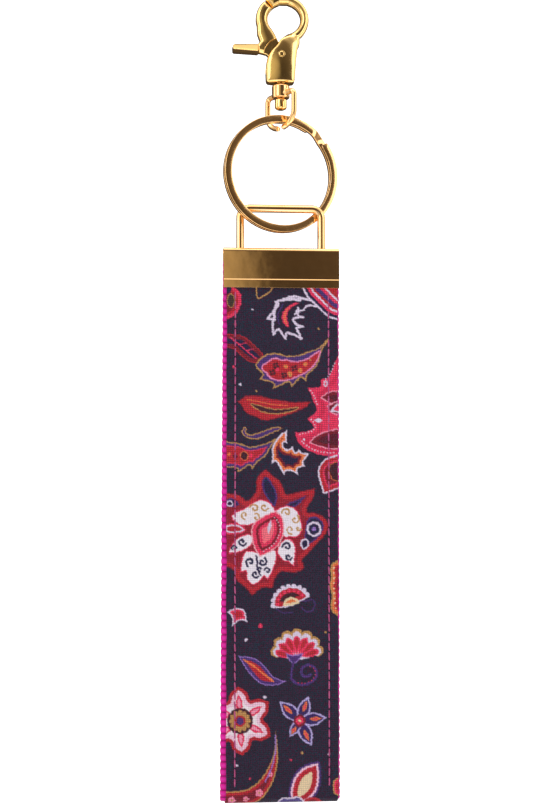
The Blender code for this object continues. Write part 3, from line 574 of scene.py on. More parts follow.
    # flower, left edge
    c.nest(petals(240, 718.5, 21, 34, 6, -33), [(0, RED), (3.2, (0.97, 0.80, 0.87)), (6.5, (0.99, 0.93, 0.95))])
    for k in range(6):
        a = math.radians(-33 + 60 * k)
        c.nest([(240 + 12 * math.cos(a - 0.3), 718.5 + 12 * math.sin(a - 0.3)), (240 + 21 * math.cos(a - 0.15), 718.5 + 21 * math.sin(a - 0.15)), (240 + 26 * math.cos(a), 718.5 + 26 * math.sin(a), 1), (240 + 21 * math.cos(a + 0.15), 718.5 + 21 * math.sin(a + 0.15)), (240 + 12 * math.cos(a + 0.3), 718.5 + 12 * math.sin(a + 0.3))], [(0, CORAL), (1.7, (0.98, 0.62, 0.72))])
    c.dot(240, 718.5, 12.6, BROWN)
    for k in range(12):
        a = TAU * k / 12
        c.dot(240 + 8.6 * math.cos(a), 718.5 + 8.6 * math.sin(a), 2.2, GOLD_C)
    c.dot(240, 718.5, 7.6, GOLD_C), c.dot(240, 718.5, 5.6, RED), c.dot(240, 718.5, 3.6, PURPLE)
    # purple star flower
    for tx, ty in ((279, 699.6), (308, 695), (326, 716), (310.7, 744), (289, 735)):
        dx, dy = tx - 299, ty - 719
        q = math.hypot(dx, dy)
        nx, ny = -dy / q, dx / q
        side = q * 0.30
        c.nest([(299 + nx * 3.4, 719 + ny * 3.4), (299 + dx * 0.55 + nx * side, 719 + dy * 0.55 + ny * side), (tx, ty, 1), (299 + dx * 0.55 - nx * side, 719 + dy * 0.55 - ny * side), (299 - nx * 3.4, 719 - ny * 3.4)], [(0, (0.74, 0.68, 0.88)), (1.7, (0.20, 0.13, 0.36))])
        c.nest([(299 + dx * 0.3, 719 + dy * 0.3), (299 + dx * 0.58 + nx * 2.6, 719 + dy * 0.58 + ny * 2.6), (299 + dx * 0.82, 719 + dy * 0.82, 1), (299 + dx * 0.58 - nx * 2.6, 719 + dy * 0.58 - ny * 2.6)], [(0, ORANGE), (1.2, CORAL)])
    c.dot(299, 719, 6.0, DARK_RED), c.dot(299, 719, 3.9, CORAL), c.dot(299, 719, 1.6, CREAM)
    # crescent tail
    c.nest([(275.6, 728.5, 1), (277, 743), (278, 757), (275, 773), (268, 788), (257, 799.5), (244.5, 803), (170, 830), (170, 786), (241, 787.6), (253, 782.5), (263, 773), (270, 760), (274, 749)], [(0, GOLD_C), (1.5, RED), (4.4, DARK_RED)])
    for px, py, r in ((259, 789, 4.0), (232, 796, 4.0), (270, 771, 2.6), (246, 795, 3.0)):
        for k in range(5):
            a = TAU * k / 5
            c.dot(px + r * 0.55 * math.cos(a), py + r * 0.55 * math.sin(a), r * 0.45, (0.98, 0.55, 0.68))
        c.dot(px, py, r * 0.3, GOLD_C)
    c.line([(275, 733), (275.5, 748), (272, 764), (265, 778)], 1.3, LILAC)
    # petal, bottom right
    c.nest([(317, 761, 1), (303.7, 764), (294, 773), (289.6, 788), (291, 797), (300, 801), (308, 796.5), (316, 788), (318.5, 775)], [(-2.2, PURPLE), (-0.2, (0.98, 0.80, 0.88)), (2.0, RED), (6.6, CREAM)])
    c.beads([(313, 765.5), (303, 768), (296.6, 776), (293.6, 788)], 0.7, 3.0, CORAL)
    c.nest([(300, 812), (303, 797), (311, 793), (319, 796), (323, 803), (323, 850), (300, 850)], [(0, RED), (3.4, DARK_RED)])
    c.nest([(274, 812), (276.5, 799), (282, 793), (290, 794.5), (298, 792), (304, 798), (306, 812), (306, 850), (274, 850)], [(0, WHITE), (1.7, (0.35, 0.30, 0.55)), (6, NAVY)])
    c.dot(237, 762, 1.3, WHITE), c.dot(290, 757, 1.2, CORAL), c.dot(301.4, 750.7, 1.4, GOLD_C), c.dot(328, 752, 1.2, WHITE), c.dot(250, 775, 1.0, CORAL)
    c.nest([(400, 760), (334, 774), (331, 784), (334, 795), (400, 812)], [(0, GOLD_C), (1.4, CORAL), (3.6, RED)])
    return c.rgb

# ================================================================ materials


class Nodes:
    """Short names for building a material's nodes."""

    def __init__(self, name):
        self.mat = bpy.data.materials.new(name)
        self.mat.use_nodes = True
        self.tree = self.mat.node_tree
        self.shader = self.tree.nodes["Principled BSDF"]

    def add(self, kind, **values):
        node = self.tree.nodes.new(kind)
        for k, v in values.items():
            setattr(node, k, v)
        return node

    def link(self, a, b):
        self.tree.links.new(a, b)

    def put(self, socket, value):
        if hasattr(value, "is_output"):
            self.link(value, socket)
        else:
            socket.default_value = value

    def math(self, op, a, b=0.5, c=None, clamp=False):
        n = self.add("ShaderNodeMath", operation=op, use_clamp=clamp)
        self.put(n.inputs[0], a)
        self.put(n.inputs[1], b)
        if c is not None:
            self.put(n.inputs[2], c)
        return n.outputs[0]

    def mix(self, factor, a, b, blend="MIX"):
        n = self.add("ShaderNodeMix", data_type="RGBA", blend_type=blend)
        self.put(n.inputs[0], factor)
        self.put(n.inputs[6], a)
        self.put(n.inputs[7], b)
        return n.outputs[2]

    def ramp(self, factor, stops, mode="LINEAR"):
        n = self.add("ShaderNodeValToRGB")
        n.color_ramp.interpolation = mode
        while len(n.color_ramp.elements) < len(stops):
            n.color_ramp.elements.new(0.5)
        for e, (p, c) in zip(n.color_ramp.elements, stops):
            e.position = p
            e.color = (*c, 1.0) if len(c) == 3 else c
        self.link(factor, n.inputs[0])
        return n.outputs[0]

    def noise(self, vector, scale, detail=2.0, rough=0.5):
        n = self.add("ShaderNodeTexNoise")
        self.link(vector, n.inputs["Vector"])
        n.inputs["Scale"].default_value = scale
        n.inputs["Detail"].default_value = detail
        n.inputs["Roughness"].default_value = rough
        return n.outputs["Fac"]

    def scaled(self, vector, xyz):
        n = self.add("ShaderNodeVectorMath", operation="MULTIPLY")
        self.link(vector, n.inputs[0])
        n.inputs[1].default_value = xyz
        return n.outputs[0]

    def bump(self, height, strength, distance, normal=None):
        n = self.add("ShaderNodeBump")
        n.inputs["Strength"].default_value = strength
        n.inputs["Distance"].default_value = distance
        self.link(height, n.inputs["Height"])
        if normal is not None:
            self.link(normal, n.inputs["Normal"])
        return n.outputs[0]


def gold_plate(name, colour=(0.86, 0.60, 0.27), rough=0.10, wave=0.35, brush=None):
    """Polished gold plate: faint ripples from the casting, hairline scratches, dulling and warmer patches, and convex
    edges painted paler, partly as rubbed plating and partly as a painted edge highlight.
    """
    m = Nodes(name)
    place = m.add("ShaderNodeTexCoord").outputs["Object"]
    ripple = m.noise(place, 260, 1.5)
    patch = m.noise(place, 420, 3.0, 0.6)
    hair = m.noise(m.scaled(place, (1500, 1500, 90) if brush is None else brush), 1.0, 2.0, 0.7)
    hair2 = m.noise(m.scaled(place, (120, 2400, 1800)), 1.0, 1.0, 0.6)
    scratch = m.math("MULTIPLY", m.math("SUBTRACT", hair, 0.56, clamp=True), m.math("SUBTRACT", hair2, 0.42, clamp=True))
    rough_out = m.math("ADD", m.math("MULTIPLY", patch, 0.08), rough - 0.03)
    rough_out = m.math("ADD", rough_out, m.math("MULTIPLY", scratch, 3.0, clamp=True), clamp=True)
    # convex edges, found by pointiness, are painted paler: partly rubbed plating, partly a painted edge highlight
    edge = m.add("ShaderNodeNewGeometry").outputs["Pointiness"]
    edge_wear_and_highlight = m.math("MULTIPLY", m.math("SUBTRACT", edge, 0.53, clamp=True), 5.0, clamp=True)
    pale = tuple(min(1.0, q * f) for q, f in zip(colour, (1.08, 1.22, 1.65)))
    warm = tuple(q * f for q, f in zip(colour, (0.97, 0.90, 0.76)))
    base = m.mix(patch, (*warm, 1), (*colour, 1))
    base = m.mix(edge_wear_and_highlight, base, (*pale, 1))
    m.link(base, m.shader.inputs["Base Color"])
    m.shader.inputs["Metallic"].default_value = 1.0
    m.link(rough_out, m.shader.inputs["Roughness"])
    normal = m.bump(ripple, wave, 0.00012)
    normal = m.bump(scratch, 0.35, 0.00002, normal)
    m.link(normal, m.shader.inputs["Normal"])
    return m.mat


def spring_wire(name):
    m = Nodes(name)
    place = m.add("ShaderNodeTexCoord").outputs["Object"]
    grain = m.noise(m.scaled(place, (2500, 2500, 500)), 1.0, 2.0, 0.6)
    m.link(m.ramp(grain, [(0.3, (0.36, 0.36, 0.38)), (0.7, (0.62, 0.61, 0.60))]), m.shader.inputs["Base Color"])
    m.shader.inputs["Metallic"].default_value = 1.0
    m.link(m.math("MULTIPLY_ADD", grain, 0.2, 0.2), m.shader.inputs["Roughness"])
    m.link(m.bump(grain, 0.3, 0.00002), m.shader.inputs["Normal"])
    return m.mat


def canvas_cloth(name):
    """Printed canvas: a plain weave of fine threads, the print in a colour attribute with painted shade between the
    threads and painted highlight on their tops, slubs and a dusty sheen.
    """
    m = Nodes(name)
    place = m.add("ShaderNodeAttribute", attribute_name="cloth").outputs["Vector"]
    split = m.add("ShaderNodeSeparateXYZ")
    m.link(place, split.inputs[0])
    wobble = m.math("MULTIPLY", m.math("SUBTRACT", m.noise(place, 0.8, 2.0), 0.5), 0.5)
    pitch_x, pitch_y = TAU / 0.50, TAU / 0.54
    x = m.math("MULTIPLY", m.math("ADD", split.outputs[0], wobble), pitch_x / 2)
    y = m.math("MULTIPLY", m.math("ADD", split.outputs[1], wobble), pitch_y / 2)
    # rounded threads both ways; over and under swap like a checkerboard
    warp = m.math("ABSOLUTE", m.math("SINE", x))
    weft = m.math("ABSOLUTE", m.math("SINE", y))
    sign = m.math("MULTIPLY", m.math("SINE", x), m.math("SINE", y))
    over = m.math("GREATER_THAN", m.math("MULTIPLY", m.math("COSINE", x), m.math("COSINE", y)), 0.0)
    height = m.math("ADD", m.math("MULTIPLY", warp, over), m.math("MULTIPLY", weft, m.math("SUBTRACT", 1.0, over)))
    gap = m.math("MULTIPLY", warp, weft)
    slub = m.noise(m.scaled(place, (5.0, 0.5, 1.0)), 1.0, 2.0, 0.6)
    slub2 = m.noise(m.scaled(place, (0.5, 5.0, 1.0)), 1.0, 2.0, 0.6)
    fleck = m.noise(place, 3.6, 1.0, 0.5)
    colour = m.add("ShaderNodeVertexColor", layer_name="print").outputs["Color"]
    # painted light: thread tops are painted lighter and the gaps between them painted darker, as painted highlight and
    # painted shade, less so where the ink is pale
    ink = m.add("ShaderNodeRGBToBW")
    m.link(colour, ink.inputs[0])
    hush = m.math("MULTIPLY", ink.outputs[0], 0.85, clamp=True)
    shade = m.math("MULTIPLY_ADD", gap, 1.15, 0.47)
    shade = m.math("ADD", m.math("MULTIPLY", shade, m.math("SUBTRACT", 1.0, hush)), m.math("MULTIPLY", hush, 0.95))
    shade = m.math("MULTIPLY", shade, m.math("MULTIPLY_ADD", m.math("ADD", slub, slub2), 0.42, 0.60))
    painted_shade_grey = m.add("ShaderNodeCombineColor")
    for i in range(3):
        m.link(shade, painted_shade_grey.inputs[i])
    print_with_painted_shade = m.mix(1.0, colour, painted_shade_grey.outputs[0], "MULTIPLY")
    # teal and wine flecks of undyed thread show in the dark ground
    teal = m.math("MULTIPLY", m.math("GREATER_THAN", fleck, 0.57), 0.046)
    wine = m.math("MULTIPLY", m.math("LESS_THAN", fleck, 0.43), 0.046)
    flecks = m.add("ShaderNodeCombineColor")
    m.link(wine, flecks.inputs[0])
    m.link(m.math("MULTIPLY", teal, 0.6), flecks.inputs[1])
    m.link(m.math("ADD", teal, m.math("MULTIPLY", wine, 0.5)), flecks.inputs[2])
    lit = m.mix(1.0, print_with_painted_shade, flecks.outputs[0], "ADD")
    m.link(lit, m.shader.inputs["Base Color"])
    m.link(m.math("MULTIPLY_ADD", slub, 0.2, 0.72), m.shader.inputs["Roughness"])
    m.shader.inputs["Specular IOR Level"].default_value = 0.25
    m.shader.inputs["Sheen Weight"].default_value = 0.12
    m.shader.inputs["Sheen Roughness"].default_value = 0.5
    rise = m.math("ADD", height, m.math("MULTIPLY", slub, 0.5))
    m.link(m.bump(rise, 0.55, 0.00007), m.shader.inputs["Normal"])
    return m.mat


def ribbed_webbing(name):
    """Polypropylene webbing: bright magenta filaments lying in slanted bundles across each rib, the rib crests painted
    lighter and the troughs painted darker as painted highlight and painted shade.
    """
    m = Nodes(name)
    place = m.add("ShaderNodeAttribute", attribute_name="cloth").outputs["Vector"]
    split = m.add("ShaderNodeSeparateXYZ")
    m.link(place, split.inputs[0])
    rib = m.math("MULTIPLY", split.outputs[1], math.pi / 1.9)
    wave = m.math("ABSOLUTE", m.math("COSINE", rib))
    chev = m.math("PINGPONG", split.outputs[0], 1.15)
    slant = m.math("ADD", split.outputs[1], m.math("MULTIPLY", chev, 0.8))
    fibre = m.math("SINE", m.math("MULTIPLY", slant, TAU / 0.36))
    fine = m.noise(m.scaled(place, (9.0, 2.2, 9.0)), 1.0, 3.0, 0.7)
    patch = m.noise(place, 0.35, 2.0)
    # painted shade: each rib is painted lighter at its crest and darker in its troughs, the filament bundles in faint
    # lighter and darker stripes
    rib_shade = m.math("MULTIPLY", wave, m.math("MULTIPLY_ADD", fibre, 0.10, 0.90))
    rib_shade = m.math("MULTIPLY", rib_shade, m.math("MULTIPLY_ADD", fine, 0.7, 0.62))
    base = m.ramp(rib_shade, [(0.08, (0.26, 0.002, 0.10)), (0.34, (0.78, 0.006, 0.28)), (0.65, (1.0, 0.014, 0.40)), (1.0, (1.0, 0.07, 0.55))])
    base = m.mix(m.math("MULTIPLY", patch, 0.35), base, (0.72, 0.005, 0.34, 1))
    m.link(base, m.shader.inputs["Base Color"])
    m.link(m.math("MULTIPLY_ADD", fine, 0.3, 0.42), m.shader.inputs["Roughness"])
    m.shader.inputs["Specular IOR Level"].default_value = 0.22
    height = m.math("ADD", m.math("MULTIPLY", fibre, 0.5), fine)
    m.link(m.bump(height, 0.5, 0.00008), m.shader.inputs["Normal"])
    return m.mat


def sewing_thread(name):
    """Twisted polyester thread, each twist painted lighter on its crest and darker in its groove as painted highlight
    and painted shade.
    """
    m = Nodes(name)
    place = m.add("ShaderNodeAttribute", attribute_name="cloth").outputs["Vector"]
    split = m.add("ShaderNodeSeparateXYZ")
    m.link(place, split.inputs[0])
    twist = m.math("SINE", m.math("MULTIPLY", m.math("ADD", split.outputs[1], m.math("MULTIPLY", split.outputs[0], 0.8)), TAU / 0.30))
    tone = m.noise(place, 1.3, 2.0)
    # painted shade: the twist is painted lighter on each ply and darker between plies, on top of a random tone
    base = m.ramp(m.math("MULTIPLY_ADD", twist, 0.3, m.math("MULTIPLY", tone, 0.9)), [(0.15, (0.34, 0.02, 0.13)), (0.55, (0.62, 0.07, 0.26)), (0.9, (0.85, 0.20, 0.42))])
    m.link(base, m.shader.inputs["Base Color"])
    m.shader.inputs["Roughness"].default_value = 0.5
    m.shader.inputs["Sheen Weight"].default_value = 0.2
    m.link(m.bump(twist, 0.4, 0.00005), m.shader.inputs["Normal"])
    return m.mat


body_gold = gold_plate("gold_body", (0.87, 0.63, 0.27), 0.13, 0.45)
gate_gold = gold_plate("gold_gate", (0.87, 0.63, 0.27), 0.13, 0.40)
pin_gold = gold_plate("gold_pin", (0.87, 0.63, 0.27), 0.18, 0.15)
rivet_gold = gold_plate("gold_rivet", (0.87, 0.63, 0.27), 0.12, 0.20)
eye_gold = gold_plate("gold_eye", (0.86, 0.56, 0.27), 0.12, 0.30)
ring_gold = gold_plate("gold_ring", (0.86, 0.56, 0.27), 0.09, 0.20, (900, 900, 900))
bail_gold = gold_plate("gold_bail", (0.86, 0.56, 0.27), 0.10, 0.25)
clamp_gold = gold_plate("gold_clamp", (0.86, 0.56, 0.27), 0.12, 0.55, (60, 1500, 2200))
steel = spring_wire("spring_steel")
canvas_mat = canvas_cloth("printed_canvas")
webbing_mat = ribbed_webbing("magenta_webbing")
thread_mat = sewing_thread("pink_thread")

# ================================================================ metal parts
PIVOT = (0.0, -14.6)
EYE_C, EYE_R = (0.85, -4.2), (4.55, 4.2)
RIM_C, RIM_R = (0.40, -4.2), (7.45, 7.0)
GRID = 0.13


def eye_arc(start, end, n):
    """Points round the claw's eye, with the flat seat at its top."""
    pts = []
    for x, z in ellipse(EYE_C, EYE_R, start, end, n):
        if z > -0.16 and abs(x - EYE_C[0]) < 1.6:
            z = 0.0
        pts.append((x, z))
    return pts


def settled(points, r, n=4):
    """Corners of a closed outline rounded by about r."""
    pts = [np.array(p, float) for p in points]
    out = []
    for i, p in enumerate(pts):
        a, b = pts[i - 1], pts[(i + 1) % len(pts)]
        da, db = a - p, b - p
        la, lb = np.linalg.norm(da), np.linalg.norm(db)
        cut = min(r, la * 0.45, lb * 0.45)
        p0, p1 = p + da / la * cut, p + db / lb * cut
        for k in range(n + 1):
            t = k / n
            out.append((1 - t) ** 2 * p0 + 2 * t * (1 - t) * p + t * t * p1)
    return np.array(out)


arm_outline = ellipse(RIM_C, RIM_R, 130.0, -48.0, 56) + [(4.75, -11.6), (2.6, -12.6), (1.0, -11.6), (0.35, -9.4)] + eye_arc(-76.0, 134.0, 60)
cheek_outline = settled([(-0.15, -10.0), (2.2, -9.0), (4.2, -9.2), (5.3, -10.6), (4.5, -13.2), (4.15, -16.5), (3.75, -22.3), (-4.15, -22.3), (-4.3, -18.6), (-3.9, -15.4), (-2.5, -13.2), (-1.1, -11.9)], 0.9)
slot_outline = [(2.6, -17.2), (2.6, -12.3), (0.9, -10.6), (0.9, -8.0), (-9.0, -8.0), (-9.0, -19.4), (1.0, -19.4)]


def claw_field(x, y, z):
    flat = x.ndim == 3
    px, pz = (x[:, 0, :], z[:, 0, :]) if flat else (x, z)
    arm2, cheek2, slot2 = (polygon_distance(o, px, pz) for o in (arm_outline, cheek_outline, slot_outline))
    if flat:
        arm2, cheek2, slot2 = (q[:, None, :] for q in (arm2, cheek2, slot2))
    arm = slab_field(arm2, y, 1.9 - 0.55 * np.exp(np.minimum(arm2, 0) / 0.85), 1.05)
    crown = 0.040 * ((x - 0.1) ** 2 + 0.30 * (z + 15.5) ** 2)
    cheek = slab_field(cheek2, y, 3.1 - 0.22 * np.exp(np.minimum(cheek2, 0) / 0.9) - crown, 0.6)
    d = smin(arm, cheek, 0.9)
    slot = np.maximum(slot2, np.abs(y) - 1.3)
    d = smax(d, -slot, 0.22)
    d = smax(d, -(np.hypot(x - PIVOT[0], z - PIVOT[1]) - 0.88), 0.14)
    hole = np.maximum(np.hypot(x, y) - 1.28, z + 20.1)
    return smax(d, -hole, 0.14)


v, q, nrm = surface(claw_field, (-5.0, -3.6, -22.8), (8.5, 3.6, 3.4), GRID)
claw_body = make("claw_casting", v, [q], normals=nrm)
paint_slot(claw_body, body_gold)
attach(claw_body, "claw")
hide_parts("claw_body")

jaw = ellipse(RIM_C, RIM_R, 133.2, 196.0, 26) + [(-6.65, -8.6), (-5.95, -10.6), (-6.9, -11.95), (-13.2, -12.1), (-13.5, -12.4), (-13.5, -13.1), (-13.2, -13.4), (-6.8, -13.7), (-4.2, -14.3), (-2.3, -16.0)]
jaw += ellipse(PIVOT, (2.2, 2.2), 222.0, 405.0, 24) + [(-0.75, -10.4), (-1.6, -8.5)] + ellipse(EYE_C, EYE_R, 222.0, 133.2, 30)
tab = settled([(-6.3, -11.9), (-13.2, -12.1), (-13.5, -12.4), (-13.5, -13.1), (-13.2, -13.4), (-6.3, -13.75)], 0.3)


def gate_field(x, y, z):
    flat = x.ndim == 3
    px, pz = (x[:, 0, :], z[:, 0, :]) if flat else (x, z)
    jaw2, tab2 = polygon_distance(jaw, px, pz), polygon_distance(tab, px, pz)
    if flat:
        jaw2, tab2 = jaw2[:, None, :], tab2[:, None, :]
    d = slab_field(jaw2, y, 1.9 - 0.55 * np.exp(np.minimum(jaw2, 0) / 0.9), 1.0)
    far = np.hypot(x - PIVOT[0], z - PIVOT[1])
    thin = np.maximum(far - 4.87, 1.05 - np.abs(y))
    d = smax(d, -thin, 0.16)
    wide = slab_field(tab2, y, 3.0 + 0.45 * (np.clip(z, -13.5, -12.1) + 12.1), 0.34)
    d = smin(d, wide, 0.5)
    return smax(d, -(far - 0.88), 0.14)


v, q, nrm = surface(gate_field, (-14.0, -3.4, -17.2), (0.6, 3.4, 2.4), GRID)
gate = make("gate_casting", v, [q], normals=nrm)
paint_slot(gate, gate_gold)
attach(gate, "gate")
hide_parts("gate")

# the pin, peened a little at both ends
v, g = lathe([(0, -3.14), (0.45, -3.13), (0.66, -3.08), (0.78, -2.98), (0.80, -2.88), (0.80, 2.88), (0.78, 2.98), (0.66, 3.08), (0.45, 3.13), (0, 3.14)], 48, PIVOT, "Y")
pin = outward(make("pivot_pin", v, g, sharp=50))
paint_slot(pin, pin_gold)
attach(pin, "claw")
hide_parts("gate_pin")

turns = 4
t = np.linspace(0, 1, turns * 28 + 1)
coil = np.c_[-2.3 + 0.78 * np.cos(TAU * turns * t), 0.78 * np.sin(TAU * turns * t), -19.05 + 1.82 * t]
tangent = np.gradient(coil, axis=0)
tangent /= np.linalg.norm(tangent, axis=1)[:, None]
outw = coil - np.c_[np.full(len(coil), -2.3), np.zeros(len(coil)), coil[:, 2]]
outw /= np.linalg.norm(outw, axis=1)[:, None]
third = np.cross(tangent, outw)
prof = circle_profile(0.17, 10)
v = (coil[:, None, :] + outw[:, None, :] * prof[None, :, 0:1] + third[:, None, :] * prof[None, :, 1:2]).reshape(-1, 3)
i = np.arange(len(coil) - 1)[:, None]
j = np.arange(10)[None, :]
quads = np.stack([i * 10 + j, (i + 1) * 10 + j, (i + 1) * 10 + (j + 1) % 10, i * 10 + (j + 1) % 10], -1).reshape(-1, 4)
spring = outward(make("closing_spring", v, [quads, np.arange(10)[None, :], ((len(coil) - 1) * 10 + np.arange(10))[None, ::-1]], sharp=50))
paint_slot(spring, steel)
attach(spring, "claw")
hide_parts("gate_spring")

# swivel: the rivet with its knob, and the hub with its stirrup
knob = [(0, -20.35), (1.0, -20.35), (1.14, -20.4), (1.2, -20.5), (1.2, -26.72), (1.24, -26.78), (1.5, -26.8), (1.64, -26.86), (1.7, -27.0), (1.7, -28.9)]
knob += [(1.7 * math.cos(a), -28.9 - 0.9 * math.sin(a)) for a in np.radians(np.linspace(8, 82, 10))]
v, g = lathe(knob + [(0, -29.8)], 64)
rivet = outward(make("swivel_post", v, g, sharp=60))
paint_slot(rivet, rivet_gold)
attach(rivet, "claw")
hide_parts("swivel_rivet")

S_HALF, S_TOP, S_KNEE, S_LOW, S_C = 6.0, -25.3, -30.6, -34.8, 1.3
loop = [(-S_HALF, S_KNEE), (-S_HALF, S_TOP - S_C)]
loop += [(-S_HALF + S_C - S_C * math.cos(a), S_TOP - S_C + S_C * math.sin(a)) for a in np.radians(np.linspace(9, 90, 10))]
loop += [(S_HALF - S_C, S_TOP)]
loop += [(S_HALF - S_C + S_C * math.sin(a), S_TOP - S_C + S_C * math.cos(a)) for a in np.radians(np.linspace(9, 90, 10))]
loop += [(S_HALF, S_KNEE)] + ellipse((0.0, S_KNEE), (S_HALF, S_KNEE - S_LOW), -3.0, -177.0, 50)


def eye_field(x, y, z):
    flat = x.ndim == 3
    px, pz = (x[:, 0, :], z[:, 0, :]) if flat else (x, z)
    line = polyline_distance(loop, px, pz, True)
    if flat:
        line = line[:, None, :]
    rod = np.hypot(line, y) - 0.75
    rho = np.hypot(x, y)
    hub = slab_field(rho - 2.5, z + 24.65, 1.8, 0.42)
    d = smin(hub, rod, 0.55)
    return smax(d, -(rho - 1.28), 0.12)


v, q, nrm = surface(eye_field, (-7.2, -2.9, -36.0), (7.2, 2.9, -22.4), GRID)
eye = make("swivel_stirrup", turned_by(v, -57.0), [q], normals=turned_by(nrm, -57.0))
paint_slot(eye, eye_gold)
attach(eye, "swivel_eye")
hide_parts("swivel_eye")

# split ring: flat wire wound twice, diving from the front turn to the back turn near its start
START, FROM, TO, END = 36.0, 54.0 - 360.0, 38.0 - 360.0, 58.0 - 720.0
angles = np.concatenate([np.arange(START, FROM, -2.0), np.arange(FROM, TO, -1.0), np.arange(TO, END, -2.0), [END]])
tt = np.clip((FROM - angles) / (FROM - TO), 0, 1)
side = -0.5 + tt * tt * (3 - 2 * tt)
r_mid = 16.4 - 1.0
a = np.radians(angles)
path = np.c_[r_mid * np.cos(a), side * 1.35, r_mid * np.sin(a)]
size = np.ones(len(path))
size[0] = size[-1] = 0.82
size[1] = size[-2] = 0.97
v, g = sweep(path, rounded_rect(1.0, 0.625, 0.2, 5), (0.0, 1.0, 0.0), scale=size)
v = turned_by(v, 13.6)
v[:, 2] += -47.7
ring = outward(make("split_ring_wire", v, g, sharp=60))
paint_slot(ring, ring_gold)
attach(ring, "split_ring")
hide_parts("split_ring")

# bail
rect = []
for cx, cz, start, r, n in ((8.6, -60.15, 0, 2.7, 14), (-8.6, -60.15, 90, 2.7, 14), (-10.1, -69.4, 180, 1.2, 8), (10.1, -69.4, 270, 1.2, 8)):
    for k in range(n):
        b = math.radians(start + 90.0 * k / (n - 1))
        rect.append((cx + r * math.cos(b), 0.0, cz + r * math.sin(b)))
dense = []
for p0, p1 in zip(rect, rect[1:] + rect[:1]):
    p0, p1 = np.array(p0), np.array(p1)
    steps = max(1, int(np.linalg.norm(p1 - p0) / 1.2))
    dense += [p0 + (p1 - p0) * k / steps for k in range(steps)]
v, g = sweep(np.array(dense), circle_profile(1.125, 28), (0.0, 1.0, 0.0), cyclic=True)
bail = outward(make("bail_wire", v, g, sharp=None))
paint_slot(bail, bail_gold)
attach(bail, "bail")
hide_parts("bail")


# clamp: one sheet folded over the strap, slotted for the bail, with its lips pressed in
def wall(side, offset):
    h = 2.7 - offset
    r = 1.1 - offset if offset < 1.1 else 0.1
    pts = []
    for k in range(11):
        b = math.radians(9.0 * k)
        pts.append((side * (1.6 + r * math.sin(b)), -69.8 + r * math.cos(b)))
    for z in (-69.95, -70.4, -72.5, -75.0, -77.0, -77.25):
        pts.append((side * h, z))
    for k in range(5):
        s = k / 4
        pts.append((side * (h - 0.16 * s * s * (3 - 2 * s)), -77.4 - 0.3 * s))
    pts += [(side * (h - 0.16), z) for z in (-77.85, -78.2, -79.3, -79.8)]
    return pts


section = list(reversed(wall(-1, 0.0))) + wall(1, 0.0) + list(reversed(wall(1, 0.6))) + wall(-1, 0.6)
n = len(section)
xs = np.array([-16.0, 16.0])
v = np.array([(x, y, z) for x in xs for y, z in section])
quads = np.array([(k, (k + 1) % n, n + (k + 1) % n, n + k) for k in range(n)])
shell = outward(make("clamp_sheet", v, [quads, np.arange(n)[None, ::-1], (n + np.arange(n))[None, :]], sharp=None))


def cutter(name, low, high):
    mesh = bpy.data.meshes.new(name)
    bm = bmesh.new()
    bmesh.ops.create_cube(bm, size=1.0)
    for vert in bm.verts:
        vert.co = Vector((low[k] + (high[k] - low[k]) * (vert.co[k] + 0.5)) * MM for k in range(3))
    bm.to_mesh(mesh)
    bm.free()
    obj = bpy.data.objects.new(name, mesh)
    bpy.context.scene.collection.objects.link(obj)
    return obj


def applied(obj):
    """The object's mesh with its modifiers worked in."""
    bpy.context.view_layer.update()
    graph = bpy.context.evaluated_depsgraph_get()
    mesh = bpy.data.meshes.new_from_object(obj.evaluated_get(graph))
    obj.modifiers.clear()
    obj.data = mesh
    return obj


tools = []
for k, x in enumerate((-11.3, 11.3)):
    tools.append(cutter(f"slot_tool_{k}", (x - 1.475, -2.0, -69.7), (x + 1.475, 2.0, -67.7)))
for tool in tools:
    mod = shell.modifiers.new("slot", "BOOLEAN")
    mod.operation, mod.solver, mod.object = "DIFFERENCE", "EXACT", tool
applied(shell)
for row, sign, count in (("front", -1, 6), ("back", 1, 5)):
    for k in range(count):
        mesh = bpy.data.meshes.new(f"bite_{row}_{k}")
        bm = bmesh.new()
        bmesh.ops.create_cone(bm, cap_ends=True, segments=16, radius1=0.5 * MM, radius2=0.12 * MM, depth=0.38 * MM)
        bm.to_mesh(mesh)
        bm.free()
        tooth = bpy.data.objects.new(f"bite_{row}_{k}", mesh)
        bpy.context.scene.collection.objects.link(tooth)
        tooth.rotation_euler = (math.radians(-90 if sign < 0 else 90), 0, 0)
        tooth.location = ((k - (count - 1) / 2) * 5.0 * MM, sign * 2.05 * MM, -75.6 * MM)
        mod = shell.modifiers.new("bite", "BOOLEAN")
        mod.operation, mod.solver, mod.object = "UNION", "EXACT", tooth
        tools.append(tooth)
applied(shell)
for tool in tools:
    bpy.data.objects.remove(tool, do_unlink=True)
mod = shell.modifiers.new("edges", "BEVEL")
mod.width, mod.segments, mod.limit_method, mod.angle_limit = 0.22 * MM, 4, "ANGLE", math.radians(50)
applied(shell)
shell.data.shade_smooth()
shell.data.set_sharp_from_angle(angle=math.radians(32))
paint_slot(shell, clamp_gold)
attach(shell, "clamp")
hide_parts("clamp")

# ================================================================ strap
MOUTH, SEG = -80.7, 34.1
FOLD = MOUTH - 4 * SEG
CANVAS_HALF, CANVAS_IN, CANVAS_OUT = 15.35, 1.45, 1.90
WEB_HALF, WEB_IN, WEB_OUT = 15.95, 0.30, 1.40
RIB = 1.9
FINE = 0.165
STITCH_X = (-13.0, 12.75)
STITCH_PITCH, STITCH_LONG = 2.6, 2.25


